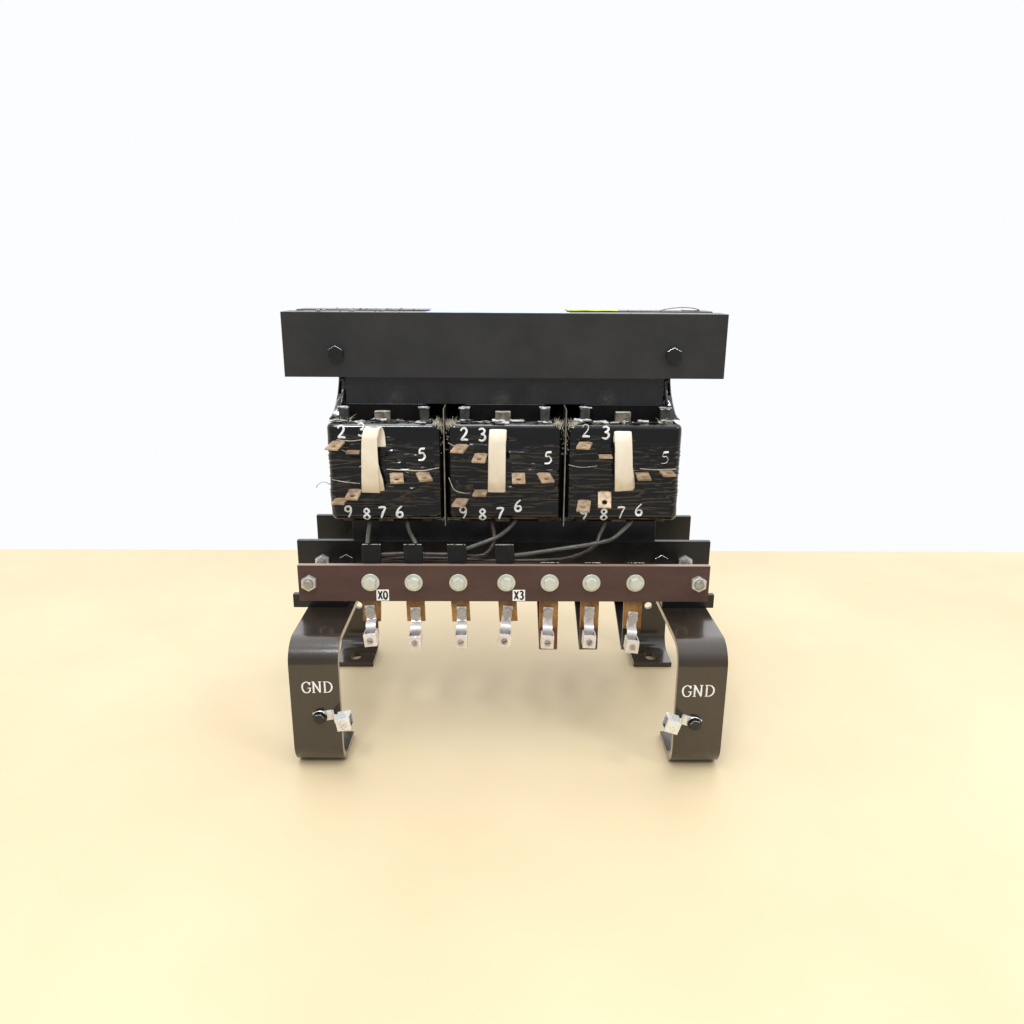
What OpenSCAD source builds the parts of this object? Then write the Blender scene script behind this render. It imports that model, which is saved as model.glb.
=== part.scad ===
// Open three-phase core-and-coil transformer on four bent flat-bar feet.
// Millimetres, +Z up, X along the core, front (terminal board) towards -Y.
// The origin is on the ground, in the middle of the overall footprint.

/* [Core] */
// stack depth of the laminated core, front to back
stack_d = 88.9; // [80:0.1:90]
// width of each vertical limb
limb_w = 82.6; // [80:0.1:84]
// distance between limb centres
limb_pitch = 124.2; // [123:0.1:126]
// height of the top and bottom yokes
yoke_h = 86.5; // [85:0.1:88]
// height of the two windows between the yokes
window_h = 127; // [126:0.1:130]

/* [Coils] */
// outer width of a coil, along the core
coil_w = 119; // [117:0.5:120]
// outer depth of a coil, front to back
coil_d = 143.2; // [141:0.2:146]
// height of the wound part
coil_h = 103.5; // [100:0.5:108]
// corner radius of the outer winding
coil_r = 12; // [8:1:15]
// gap between the bottom yoke and the wound part
coil_lift = 7.5; // [6.5:0.1:9]

/* [Clamps] */
// length of the four core clamps
clamp_len = 451; // [448:0.5:470]
// thickness of the clamp steel
clamp_t = 6.35; // [6:0.05:6.5]
// height of the upper clamp's upright leg
upper_leg = 64.8; // [62:0.1:66]
// width of the upper clamp's top flange
upper_flange = 36.5; // [34:0.1:40]
// height of the lower clamp's upright web
lower_leg = 65; // [62:0.5:67]
// how far the lower clamp's ledge stands out from its web
ledge_w = 31.2; // [30:0.1:34]
// height of the lip on the ledge
lip_h = 15; // [12:0.5:18]
// length of the ledge above each foot
ledge_len = 55.5; // [52:0.5:60]

/* [Feet] */
// height of the feet
foot_h = 137; // [130:1:150]
// width of the flat bar that the feet are bent from
foot_w = 48.8; // [48:0.1:50]
// thickness of that flat bar
foot_t = 6.35; // [6:0.05:6.5]
// outside radius of the bends
foot_r = 25; // [20:1:28]
// distance of each rear foot's centre from the middle
foot_x = 190.5; // [190.5:0.1:193]
// distance of the left front foot's centre from the middle
front_left_x = 186.1; // [184:0.1:192]
// distance of the right front foot's centre from the middle
front_right_x = 193.7; // [189:0.1:196]
// reach of the left front foot in front of the core's centre
front_left_reach = 172; // [168:0.5:178]
// reach of the right front foot in front of the core's centre
front_right_reach = 176; // [168:0.5:178]
// reach of the rear feet behind the core's centre
rear_reach = 103; // [98:0.5:110]
// length of the bottom flanges
base_len = 56; // [54:0.5:58]
// length of the slots in the bottom flanges
slot_len = 21; // [18:0.5:24]
// width of those slots
slot_w = 12.7; // [11:0.1:14]

/* [Terminal board] */
// length of the board
board_len = 420; // [414:1:430]
// height of the board
board_h = 38.8; // [38:0.1:41]
// thickness of the board
board_t = 6.35; // [6:0.05:7]
// height of the terminal bolts above the ground
board_z = 178.5; // [177:0.5:180]
// distance of the board's front face from the core's centre
board_y = 114; // [112:0.5:116]
// width of the copper bars behind the board
bar_w = 19; // [18:0.1:20]
// thickness of those bars
bar_t = 3.15; // [3:0.05:3.2]

/* [Lugs] */
// width of a lug's strip
lug_w = 10.2; // [9.8:0.1:10.3]
// thickness of a lug's strip
lug_t = 1.6; // [1.5:0.05:1.7]
// diameter of the clamp screw
screw_d = 6; // [5.8:0.05:6.05]

/* [Hidden] */
eps = 0.01;
round_fn = 48;

// ---- levels and faces ----
core_z = foot_h;
window_z = core_z + yoke_h;
top_yoke_z = window_z + window_h;
core_top = top_yoke_z + yoke_h;
core_len = 2 * limb_pitch + limb_w;
core_face = stack_d / 2;
clamp_face = core_face + clamp_t;
upper_clamp_z = core_top + clamp_t - upper_leg;
coil_z = window_z + coil_lift;
coil_face = coil_d / 2;
ledge_face = clamp_face + ledge_w;

// ---- winding layers, measured from a limb's centre ----
tube_gap = 0.35;
tube_t = 1.8;
tube_in = [limb_w / 2 + tube_gap, stack_d / 2 + tube_gap];
tube_out = tube_in + [tube_t, tube_t];
inner_wind_in = tube_out + [0.2, 0.2];
inner_wind_x = 50.5;
inner_wind_y = 52;
outer_wind_x = 51;
outer_wind_y = 60;
stick_t = 7.6;

// ---- fasteners ----
tie_x = core_len / 2 + 6.2;
tie_d = 9.5;
tie_hole_d = 10.3;
hex_af = 14.3;
hex_h = 6;
upper_tie_z = upper_clamp_z + 24;
lower_tie_z = core_z + 43;
stud_x = 198.5;
foot_bolt_y = clamp_face + 15.2;
term_d = 6.3;
term_hole_d = 6.8;
term_af = 11.1;
term_head_h = 4.6;
washer_d = 18.5;
washer_t = 1.6;

// ---- terminals and lugs ----
board_back = board_y - board_t;
bar_back = board_back - bar_t;
terminal_x = [-136.5, -92.5, -47, 2, 46.3, 89, 134];
bar_tilt = [2, -1, -3, -3.2, 0, 0, 0];
bar_top = [37.5, 37.5, 37.5, 37.5, 19, 19, 19];
bar_drop = [46, 46, 46, 46, 54, 54, 54];
term_turn = [30, 24, 38, 12, 33, 27, 44];
first_riser = 4;
lug_x = [-139, -92, -44.3, 3.2, 45.6, 88.5, 133.8];
lug_z = [144.5, 142, 143, 144, 142.5, 143, 137.5];
lug_tilt = [-6, -2, 0, 7.5, 3, 3, 5.5];
board_below = 20.8;
front_x = [-front_left_x, front_right_x];
front_y = [front_left_reach, front_right_reach];
anchor_y = 133;
anchor_in = 19;
ground_x = [-182.1, 188.8];
ground_z = [59.2, 54.7];
ground_tilt = [-99.5, 108.3];
ground_tang = 4.5;
rear_hole_z = 63.5;
ground_washer_d = 14.4;
ground_washer_t = 1.5;
foot_hole_d = 9.5;
lug_hole_d = 6.6;
lug_bolt_d = 6.2;
lug_af = 10;
collar_in_w = 10.4;
collar_h = 13;
collar_wall = 1.2;
collar_w = collar_in_w + 2 * collar_wall;
collar_back_y = 8.8;
collar_in_y = 10.8;
collar_front_in = 20.3;
collar_front_y = 24.3;
collar_top = -16.5;
collar_mid = collar_top - collar_h / 2;
screw_len = 7;
screw_tip = 18.8;
screw_clear = 0.1;

// ---- the frame's origin is the middle of the footprint ----
lug_front = max(front_y) + screw_tip + screw_len;
core_y = (lug_front - rear_reach) / 2;

// ---- taps: offset from the coil's centre, level, slope down, turn to the right, length ----
taps_left = [[-45.1, 315.7, 13, -14, 19], [-30.3, 306, 2, 0, 10], [12.3, 282.5, 16, 9, 19],
             [39.2, 283.4, 11, 17, 19], [-30.5, 264.8, 16, -6, 19], [-45.5, 255.2, 2, -3, 18]];
taps_centre = [[-43.4, 312.6, 10, -16, 19], [-24, 303.4, 13, -9, 19], [14, 282.8, 17, 1, 19],
               [39.6, 283.2, 14, 14, 19], [-24.3, 264.8, 3, -6, 18], [-44, 255.3, 7, -11, 19]];
taps_right = [[-41.3, 315.8, 6, -15, 19], [-21.3, 302.7, 1, 0, 12], [18, 283.6, 7, 0, 19],
              [42.4, 286, 1, 3, 19], [-20, 263.5, 45, -5, 19], [-40.7, 253.9, 19, -10, 19]];
tap_w = 13.5;
tap_t = 1.8;
tap_hole_d = 5.6;
tap_hole_in = 6.5;
tap_min_holed = 15;
tap_neck_w = 9;
jumper_w = 17;
jumper_t = 2.6;

// ---- coil leads: hand-set route points ----
lead_d = 4.4;
lead_sides = 10;
lead_back = bar_back - lead_d / 2;
lead_z = coil_z - lead_d / 2;
route_1 = [[-143, -60, lead_z], [-143, -66, 226], [-142, -80, 221], [-141, -94, 215], [-141, -lead_back, 208]];
route_2 = [[-103, -60, lead_z], [-103, -66, 226], [-99, -80, 221], [-92, -94, 215], [-90, -lead_back, 206]];
route_3 = [[12, -60, lead_z], [9, -67, 226], [0, -78, 221], [-9, -88, 218], [-25, -92, 213],
           [-38, -98, 210], [-50, -lead_back, 209]];
route_4 = [[136, -60, lead_z], [132, -67, 226], [121, -80, 221], [110, -88, 216], [89, -91, 212],
           [58, -94, 208], [30, -98, 205], [12, -lead_back, 204], [-4, -lead_back, 204]];
route_5 = [[-14, -60, lead_z], [-13, -66, 225], [-11, -78, 219], [-12, -86, 210], [-21, -90, 200],
           [-38, -93, 200], [-60, -95, 202], [-92, -96, 203], [-112, -99, 204], [-128, -lead_back, 204],
           [-140, -lead_back, 203]];
route_6 = [[108, -60, lead_z], [106, -66, 225], [100, -76, 217], [95, -83, 208], [80, -87, 200],
           [58, -90, 195], [30, -88, 193], [8, -86, 192], [-24, -85, 192], [-60, -86, 194],
           [-95, -90, 196], [-120, -96, 197], [-132, -lead_back, 196], [-142, -lead_back, 195]];

// ---- helpers ----
function unit(v) = v / norm(v);
function miter(p, i) =
  let (n = len(p) - 1,
       a = unit(p[min(i + 1, n)] - p[min(i, n - 1)]),
       b = unit(p[max(i, 1)] - p[max(i - 1, 0)]),
       m = unit([-a[1] - b[1], a[0] + b[0]]))
  m / (m * [-a[1], a[0]]);
function ribbon(p, t) =
  concat([for (i = [0 : len(p) - 1]) p[i] + miter(p, i) * t / 2],
         [for (i = [len(p) - 1 : -1 : 0]) p[i] - miter(p, i) * t / 2]);
function spline_at(p, i, u) =
  let (n = len(p) - 1,
       a = p[max(i - 1, 0)],
       b = p[i],
       c = p[min(i + 1, n)],
       d = p[min(i + 2, n)])
  0.5 * (2 * b + (c - a) * u + (2 * a - 5 * b + 4 * c - d) * u * u + (3 * b - a - 3 * c + d) * u * u * u);
function smooth(p, k) =
  concat([for (i = [0 : len(p) - 2]) for (j = [0 : k - 1]) spline_at(p, i, j / k)], [p[len(p) - 1]]);
function tangent(p, i) = unit(p[min(i + 1, len(p) - 1)] - p[max(i - 1, 0)]);
function side_of(p, i) =
  let (t = tangent(p, i),
       s = i == 0 ? cross(t, [1, 0.3, 0.2]) : side_of(p, i - 1))
  unit(s - (s * t) * t);
function ring(p, i, r, n) =
  let (t = tangent(p, i), s = side_of(p, i), w = cross(t, s))
  [for (j = [0 : n - 1]) p[i] + r * (cos(360 * j / n) * s + sin(360 * j / n) * w)];

module sweep(route, d, n) {
  p = smooth(route, 2);
  m = len(p);
  pts = [for (i = [0 : m - 1]) each ring(p, i, d / 2, n)];
  sides = [for (i = [0 : m - 2]) for (j = [0 : n - 1])
           [i * n + j, i * n + (j + 1) % n, (i + 1) * n + (j + 1) % n, (i + 1) * n + j]];
  start = [[for (j = [n - 1 : -1 : 0]) j]];
  finish = [[for (j = [0 : n - 1]) (m - 1) * n + j]];
  polyhedron(points = pts, faces = concat(sides, start, finish), convexity = 6);
}
module in_frame() {
  translate([0, core_y, 0])
    children();
}
// a profile drawn in (Y, Z), centred on X
module profile_x(w) {
  rotate([90, 0, 90])
    linear_extrude(height = w, center = true)
      children();
}
module rod_y(d, y0, y1) {
  translate([0, y1, 0])
    rotate([90, 0, 0])
      cylinder(d = d, h = y1 - y0, $fn = round_fn);
}
module hex_y(af, y0, y1, turn = 30) {
  translate([0, y1, 0])
    rotate([90, turn, 0])
      cylinder(d = af / cos(30), h = y1 - y0, $fn = 6);
}
module hex_nut_y(af, d, y0, y1) {
  difference() {
    hex_y(af, y0, y1);
    rod_y(d, y0 - 1, y1 + 1);
  }
}
module round_box(x, y, r) {
  hull()
    for (sx = [-1, 1])
      for (sy = [-1, 1])
        translate([sx * (x / 2 - r), sy * (y / 2 - r)])
          circle(r = r, $fn = 32);
}
module box_tube(out_x, out_y, out_r, in_x, in_y, in_r, z0, h) {
  translate([0, 0, z0])
    linear_extrude(height = h)
      difference() {
        round_box(out_x, out_y, out_r);
        round_box(in_x, in_y, in_r);
      }
}
module each_limb() {
  for (i = [-1, 0, 1])
    translate([i * limb_pitch, 0, 0])
      children();
}

// ---- core ----
module yoke(z0) {
  translate([-core_len / 2, -core_face, z0])
    cube([core_len, stack_d, yoke_h]);
}
module upper_yoke() {
  color([0.12, 0.12, 0.13])
    yoke(top_yoke_z);
}
module lower_yoke() {
  color([0.12, 0.12, 0.13])
    yoke(core_z);
}
module core_limbs() {
  color([0.14, 0.14, 0.15])
    each_limb()
      translate([-limb_w / 2, -core_face, window_z])
        cube([limb_w, stack_d, window_h]);
}

// ---- coils ----
module limb_tubes() {
  color([0.45, 0.36, 0.25])
    each_limb()
      box_tube(2 * tube_out[0], 2 * tube_out[1], 1, 2 * tube_in[0], 2 * tube_in[1], 0.2,
               window_z + 0.5, window_h - 1);
}
module inner_windings() {
  color([0.20, 0.14, 0.10])
    each_limb()
      box_tube(2 * inner_wind_x, 2 * inner_wind_y, 5, 2 * inner_wind_in[0], 2 * inner_wind_in[1], 1,
               coil_z + 1, coil_h - 2);
}
module outer_winding() {
  box_tube(coil_w, coil_d, coil_r, 2 * outer_wind_x, 2 * outer_wind_y, 6, coil_z, coil_h);
}
module winding_left() {
  color([0.09, 0.08, 0.08])
    translate([-limb_pitch, 0, 0])
      outer_winding();
}
module winding_centre() {
  color([0.09, 0.08, 0.08])
    outer_winding();
}
module winding_right() {
  color([0.09, 0.08, 0.08])
    translate([limb_pitch, 0, 0])
      outer_winding();
}
// upright spacers that hold the cooling duct open at the coil's corners
module corner_sticks() {
  color([0.30, 0.24, 0.16])
    each_limb()
      for (sx = [-1, 1])
        for (sy = [-1, 1])
          translate([sx * 41.5 - 5, sy * (inner_wind_y + 4) - stick_t / 2, coil_z - 4])
            cube([10, stick_t, coil_h + 18]);
}
module duct_packs() {
  color([0.62, 0.55, 0.42])
    each_limb()
      for (sy = [-1, 1])
        translate([-10, sy * (inner_wind_y + 4) - stick_t / 2, coil_z - 4])
          cube([16, stick_t, coil_h + 14.5]);
}
module phase_barriers() {
  color([0.36, 0.29, 0.20])
    for (s = [-1, 1])
      translate([s * limb_pitch / 2 - 0.6, -coil_face - 3, window_z + 3])
        cube([1.2, coil_d + 6, window_h - 3.5]);
}
module end_sheet() {
  // upright part between the clamp legs
  translate([core_len / 2 + 5, -core_face + 1, top_yoke_z + 16])
    cube([1.6, stack_d - 2, 28]);
  // slanting part over the coil's outer corner
  translate([core_len / 2 + 5.8, 0, top_yoke_z + 16.5])
    rotate([0, -17, 0])
      translate([-0.8, -58, -31])
        cube([1.6, 116, 31]);
}
module end_sheets() {
  color([0.10, 0.09, 0.08])
    for (s = [0, 1])
      mirror([s, 0, 0])
        end_sheet();
}

// ---- clamps ----
module upper_clamp() {
  difference() {
    union() {
      translate([-clamp_len / 2, -clamp_face, upper_clamp_z])
        cube([clamp_len, clamp_t, upper_leg]);
      translate([-clamp_len / 2, -clamp_face, core_top])
        cube([clamp_len, upper_flange, clamp_t]);
    }
    for (s = [-1, 1])
      translate([s * tie_x, 0, upper_tie_z])
        rod_y(tie_hole_d, -clamp_face - 1, -core_face + 1);
    translate([-clamp_len / 2 + 14, -clamp_face + 22, core_top - 1])
      cylinder(d = 11, h = clamp_t + 2, $fn = round_fn);
  }
}
module upper_clamp_front() {
  color([0.22, 0.22, 0.22])
    upper_clamp();
}
module upper_clamp_rear() {
  color([0.22, 0.22, 0.22])
    rotate([0, 0, 180])
      upper_clamp();
}
module lower_clamp(studs) {
  difference() {
    union() {
      translate([-clamp_len / 2, -clamp_face, core_z])
        cube([clamp_len, clamp_t, lower_leg]);
      for (s = [0, 1])
        mirror([s, 0, 0])
          translate([clamp_len / 2 - ledge_len, -ledge_face, core_z]) {
            cube([ledge_len, ledge_w + clamp_t, clamp_t]);
            cube([ledge_len, clamp_t, lip_h]);
          }
    }
    for (s = [-1, 1]) {
      translate([s * tie_x, 0, lower_tie_z])
        rod_y(tie_hole_d, -clamp_face - 1, -core_face + 1);
      translate([s * foot_x, -foot_bolt_y, core_z - 1])
        cylinder(d = tie_hole_d, h = clamp_t + 2, $fn = round_fn);
      if (studs)
        translate([s * stud_x, 0, board_z])
          rod_y(tie_hole_d, -clamp_face - 1, -core_face + 1);
    }
  }
}
module lower_clamp_front() {
  color([0.20, 0.20, 0.20])
    lower_clamp(true);
}
module lower_clamp_rear() {
  color([0.20, 0.20, 0.20])
    rotate([0, 0, 180])
      lower_clamp(false);
}

// ---- tie bolts: head in front, nut behind ----
module each_tie() {
  for (s = [-1, 1])
    for (z = [upper_tie_z, lower_tie_z])
      translate([s * tie_x, 0, z])
        children();
}
module tie_bolts() {
  color([0.16, 0.16, 0.17])
    each_tie() {
      hex_y(hex_af, -clamp_face - hex_h, -clamp_face);
      rod_y(tie_d, -clamp_face - eps, clamp_face + 12);
    }
}
module tie_nuts() {
  color([0.16, 0.16, 0.17])
    each_tie()
      hex_nut_y(hex_af, tie_d, clamp_face, clamp_face + 8);
}

// ---- feet ----
// flat bar bent to a C; the outer face is at y = 0 and the flanges run towards +y
module foot_bend(z0, low) {
  intersection() {
    translate([0, foot_r, z0])
      rotate([0, 90, 0])
        difference() {
          cylinder(r = foot_r, h = foot_w, center = true, $fn = 64);
          cylinder(r = foot_r - foot_t, h = foot_w + 2, center = true, $fn = 64);
        }
    translate([-foot_w, -1, low ? z0 - foot_r - 1 : z0])
      cube([2 * foot_w, foot_r + 1, foot_r + 1]);
  }
}
// hole, anchor slot and top bolt are each placed as [from the bar's middle, level or distance back]
module foot(top_len, low_len, hole, anchor, bolt) {
  difference() {
    union() {
      translate([-foot_w / 2, 0, foot_r])
        cube([foot_w, foot_t, foot_h - 2 * foot_r]);
      translate([-foot_w / 2, foot_r, 0])
        cube([foot_w, low_len - foot_r, foot_t]);
      translate([-foot_w / 2, foot_r, foot_h - foot_t])
        cube([foot_w, top_len - foot_r, foot_t]);
      foot_bend(foot_r, true);
      foot_bend(foot_h - foot_r, false);
    }
    for (s = [-1, 1])
      translate([anchor[0], anchor[1] + s * (slot_len - slot_w) / 2, -1])
        cylinder(d = slot_w, h = foot_t + 2, $fn = round_fn);
    translate([anchor[0] - slot_w / 2, anchor[1] - (slot_len - slot_w) / 2, -1])
      cube([slot_w, slot_len - slot_w, foot_t + 2]);
    translate([hole[0], 0, hole[1]])
      rod_y(foot_hole_d, -1, foot_t + 1);
    translate([bolt[0], bolt[1], foot_h - foot_t - 1])
      cylinder(d = tie_hole_d, h = foot_t + 2, $fn = round_fn);
  }
}
// a front foot stands a little to the right of the rear one, with its slot and bolt in line with it
module foot_front(side) {
  aside = (2 * side - 1) * foot_x - front_x[side];
  reach = front_y[side];
  color([0.20, 0.20, 0.21])
    translate([front_x[side], -reach, 0])
      foot(reach - clamp_face, reach - anchor_y + anchor_in, [ground_x[side] - front_x[side], ground_z[side]],
           [aside, reach - anchor_y], [aside, reach - foot_bolt_y]);
}
module foot_rear(s) {
  color([0.20, 0.20, 0.21])
    translate([s * foot_x, rear_reach, 0])
      rotate([0, 0, 180])
        foot(base_len, base_len, [0, rear_hole_z], [0, base_len - anchor_in], [0, rear_reach - foot_bolt_y]);
}
module each_foot_bolt() {
  for (s = [-1, 1])
    for (sy = [-1, 1])
      translate([s * foot_x, sy * foot_bolt_y, 0])
        children();
}
module foot_bolts() {
  color([0.16, 0.16, 0.17])
    each_foot_bolt() {
      translate([0, 0, core_z + clamp_t])
        cylinder(d = hex_af / cos(30), h = hex_h, $fn = 6);
      translate([0, 0, foot_h - foot_t - 10])
        cylinder(d = tie_d, h = foot_t + clamp_t + 10 + eps, $fn = round_fn);
    }
}
module foot_nuts() {
  color([0.16, 0.16, 0.17])
    each_foot_bolt()
      translate([0, 0, foot_h - foot_t - 8])
        difference() {
          cylinder(d = hex_af / cos(30), h = 8, $fn = 6);
          translate([0, 0, -1])
            cylinder(d = tie_d, h = 10, $fn = round_fn);
        }
}

// ---- terminal board ----
module at_terminals() {
  for (x = terminal_x)
    translate([x, 0, board_z])
      children();
}
module terminal_board() {
  color([0.36, 0.24, 0.20])
    difference() {
      translate([-board_len / 2, -board_y, board_z - board_below])
        cube([board_len, board_t, board_h]);
      at_terminals()
        rod_y(term_hole_d, -board_y - 1, -board_back + 1);
      for (s = [-1, 1])
        translate([s * stud_x, 0, board_z])
          rod_y(tie_hole_d, -board_y - 1, -board_back + 1);
    }
}
module board_studs() {
  color([0.60, 0.60, 0.58])
    for (s = [-1, 1])
      translate([s * stud_x, 0, board_z])
        rod_y(tie_d, -board_y - 9, -core_face + 9);
}
module board_nuts() {
  color([0.72, 0.70, 0.62])
    for (s = [-1, 1])
      translate([s * stud_x, 0, board_z]) {
        hex_nut_y(hex_af, tie_d, -board_y - hex_h, -board_y);
        hex_nut_y(hex_af, tie_d, -board_back, -board_back + hex_h);
        hex_nut_y(hex_af, tie_d, -clamp_face - hex_h, -clamp_face);
        hex_nut_y(hex_af, tie_d, -core_face, -core_face + hex_h);
      }
}
module terminal_bars() {
  color([0.55, 0.33, 0.16])
    for (i = [0 : 6])
      difference() {
        translate([terminal_x[i], 0, board_z])
          rotate([0, bar_tilt[i], 0])
            translate([-bar_w / 2, -board_back, -bar_drop[i]])
              cube([bar_w, bar_t, bar_drop[i] + bar_top[i]]);
        translate([terminal_x[i], 0, board_z])
          rod_y(term_hole_d, -board_back - 1, -bar_back + 1);
        translate([lug_x[i], 0, lug_z[i]])
          rod_y(lug_hole_d, -board_back - 1, -bar_back + 1);
      }
}
// sleeved strips: down behind a terminal bar, back under the core, up to the coil's underside at the rear
riser_y = -bar_back + bar_t / 2;
riser_head = 152;
riser_bottom = 97;
riser_run = foot_h - 7;
riser_rear = ledge_face + 9;
riser_end = coil_z - bar_t / 2 - 0.3;
riser_path = [[riser_y, riser_head], [riser_y, riser_bottom + 5], [riser_y + 2, riser_bottom + 2],
              [riser_y + 6, riser_bottom + 2.5], [-42, 123], [-14, riser_run], [riser_rear - 6, riser_run],
              [riser_rear, riser_run + 6], [riser_rear, riser_end - 7], [riser_rear - 6, riser_end],
              [61, riser_end]];
module riser_bars() {
  color([0.16, 0.12, 0.09])
    for (i = [first_riser : 6])
      difference() {
        translate([terminal_x[i] + 0.5, 0, 0])
          profile_x(bar_w)
            polygon(ribbon(riser_path, bar_t));
        translate([lug_x[i], 0, lug_z[i]])
          rod_y(lug_hole_d, -bar_back - 1, -bar_back + bar_t + 1);
      }
}
module terminal_bolts() {
  color([0.80, 0.80, 0.74])
    for (i = [0 : 6])
      translate([terminal_x[i], 0, board_z]) {
        hex_y(term_af, -board_y - washer_t - term_head_h, -board_y - washer_t, term_turn[i]);
        rod_y(term_d, -board_y - washer_t - eps, -bar_back + 9);
      }
}
module terminal_washers() {
  color([0.80, 0.80, 0.74])
    at_terminals()
      difference() {
        rod_y(washer_d, -board_y - washer_t, -board_y);
        rod_y(term_hole_d, -board_y - washer_t - 1, -board_y + 1);
      }
}
module terminal_nuts() {
  color([0.80, 0.80, 0.74])
    at_terminals()
      hex_nut_y(term_af, term_d, -bar_back, -bar_back + 5.5);
}

// ---- collar lugs: y = 0 is the back of the tang, the wire end hangs towards -z ----
lug_curve = [[-lug_t / 2, 6.5], [-lug_t / 2, -8], [-2, -9.6], [-4.5, -10.3], [-7.5, -10.8], [-9.8, -11.8],
            [-11.2, -13.6], [-11.6, -16], [-11.6, -30.5]];
module on_lug(i) {
  translate([lug_x[i], -board_back, lug_z[i]])
    rotate([0, lug_tilt[i], 0])
      children();
}
module on_ground_lug(side) {
  translate([ground_x[side], -front_y[side], ground_z[side]])
    rotate([0, ground_tilt[side], 0])
      children();
}
module lug_strip(tang) {
  difference() {
    profile_x(lug_w)
      polygon(ribbon([for (p = lug_curve) p[1] > 0 ? p : p - [0, tang]], lug_t));
    rod_y(lug_hole_d, -lug_t - 1, 1);
  }
}
module lug_collar() {
  difference() {
    translate([-collar_w / 2, -collar_front_y, collar_top - collar_h])
      cube([collar_w, collar_front_y - collar_back_y, collar_h]);
    translate([-collar_w / 2 + collar_wall, -collar_front_in, collar_top - collar_h - 1])
      cube([collar_w - 2 * collar_wall, collar_front_in - collar_in_y, collar_h + 2]);
    translate([0, 0, collar_mid])
      rod_y(screw_d + screw_clear, -collar_front_y - 1, -collar_front_in + 1);
  }
}
module lug_screw(turn) {
  translate([0, 0, collar_mid])
    difference() {
      rod_y(screw_d, -screw_tip - screw_len, -screw_tip);
      rotate([0, turn, 0])
        translate([-screw_d, -screw_tip - screw_len - 1, -0.6])
          cube([2 * screw_d, 2.4, 1.2]);
    }
}
module lug_strips() {
  color([0.70, 0.65, 0.62]) {
    for (i = [0 : 6])
      on_lug(i)
        lug_strip(0);
    for (side = [0, 1])
      on_ground_lug(side)
        lug_strip(ground_tang);
  }
}
module lug_collars() {
  color([0.72, 0.68, 0.65]) {
    for (i = [0 : 6])
      on_lug(i)
        lug_collar();
    for (side = [0, 1])
      on_ground_lug(side)
        translate([0, 0, -ground_tang])
          lug_collar();
  }
}
module board_lug_screw(i, turn) {
  color([0.66, 0.63, 0.60])
    on_lug(i)
      lug_screw(turn);
}
module ground_lug_screw(side, turn) {
  color([0.66, 0.63, 0.60])
    on_ground_lug(side)
      translate([0, 0, -ground_tang])
        lug_screw(turn);
}
// copper that a lug's bolt passes through
function bar_stack(i) = i < first_riser ? bar_t : 2 * bar_t;
module lug_bolts() {
  color([0.68, 0.66, 0.62])
    for (i = [0 : 6])
      on_lug(i) {
        hex_y(lug_af, -lug_t - 4, -lug_t);
        rod_y(lug_bolt_d, -lug_t - eps, bar_stack(i) + 6.5);
      }
  color([0.14, 0.14, 0.15])
    for (side = [0, 1])
      on_ground_lug(side) {
        hex_y(lug_af, -lug_t - ground_washer_t - 4, -lug_t - ground_washer_t);
        rod_y(lug_bolt_d, -lug_t - ground_washer_t - eps, foot_t + ground_washer_t + 7.5);
      }
}
module lug_nuts() {
  color([0.66, 0.64, 0.60])
    for (i = [0 : 6])
      on_lug(i)
        hex_nut_y(lug_af, lug_bolt_d, bar_stack(i), bar_stack(i) + 5);
  color([0.16, 0.16, 0.17])
    for (side = [0, 1])
      on_ground_lug(side)
        hex_nut_y(lug_af, lug_bolt_d, foot_t + ground_washer_t, foot_t + ground_washer_t + 5);
}
module ground_washers() {
  color([0.15, 0.15, 0.16])
    for (side = [0, 1])
      on_ground_lug(side)
        for (y = [-lug_t - ground_washer_t, foot_t])
          difference() {
            rod_y(ground_washer_d, y, y + ground_washer_t);
            rod_y(lug_hole_d, y - 1, y + ground_washer_t + 1);
          }
}

// ---- taps and jumpers on the coil fronts ----
// a neck against the winding, then a plate that slopes down in front, with a hole if it is long enough
module tap_tab(slope, turn, len) {
  root = tap_w / 2 * sin(abs(turn)) + tap_t / 2 * sin(slope) + 0.4;
  translate([-tap_neck_w / 2, -root - 1, -tap_t / 2])
    cube([tap_neck_w, root + 1, tap_t]);
  translate([0, -root, 0])
    rotate([0, 0, turn])
      rotate([slope, 0, 0])
        difference() {
          translate([-tap_w / 2, -len, -tap_t / 2])
            cube([tap_w, len, tap_t]);
          if (len > tap_min_holed)
            translate([0, tap_hole_in - len, -tap_t])
              cylinder(d = tap_hole_d, h = 2 * tap_t, $fn = round_fn);
        }
}
module tap_tabs(side, taps) {
  color([0.75, 0.60, 0.52])
    for (tap = taps)
      translate([side * limb_pitch + tap[0], -coil_face, tap[1]])
        tap_tab(tap[2], tap[3], tap[4]);
}
jumper_path = [[-1.4, 330], [-5, 331.5], [-9, 329.5], [-11, 324], [-11.5, 314], [-11, 300], [-9.5, 287],
               [-7, 274], [-4, 264], [-1.4, 260]];
module jumper(x) {
  color([0.83, 0.74, 0.58])
    translate([x, -coil_face, 0])
      profile_x(jumper_w)
        polygon(ribbon(jumper_path, jumper_t));
}

// ---- leads ----
module coil_leads() {
  color([0.25, 0.24, 0.20]) {
    sweep(route_1, lead_d, lead_sides);
    sweep(route_2, lead_d, lead_sides);
    sweep(route_3, lead_d, lead_sides);
    sweep(route_4, lead_d, lead_sides);
  }
}
module neutral_leads() {
  color([0.25, 0.24, 0.20]) {
    sweep(route_5, lead_d, lead_sides);
    sweep(route_6, lead_d, lead_sides);
  }
}
module marker_plates() {
  color([0.92, 0.92, 0.90])
    for (x = [-131, 8.5])
      translate([x, -board_y - 0.3, board_z - board_below + 0.8])
        cube([12.8, 0.3, 12]);
}

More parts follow.
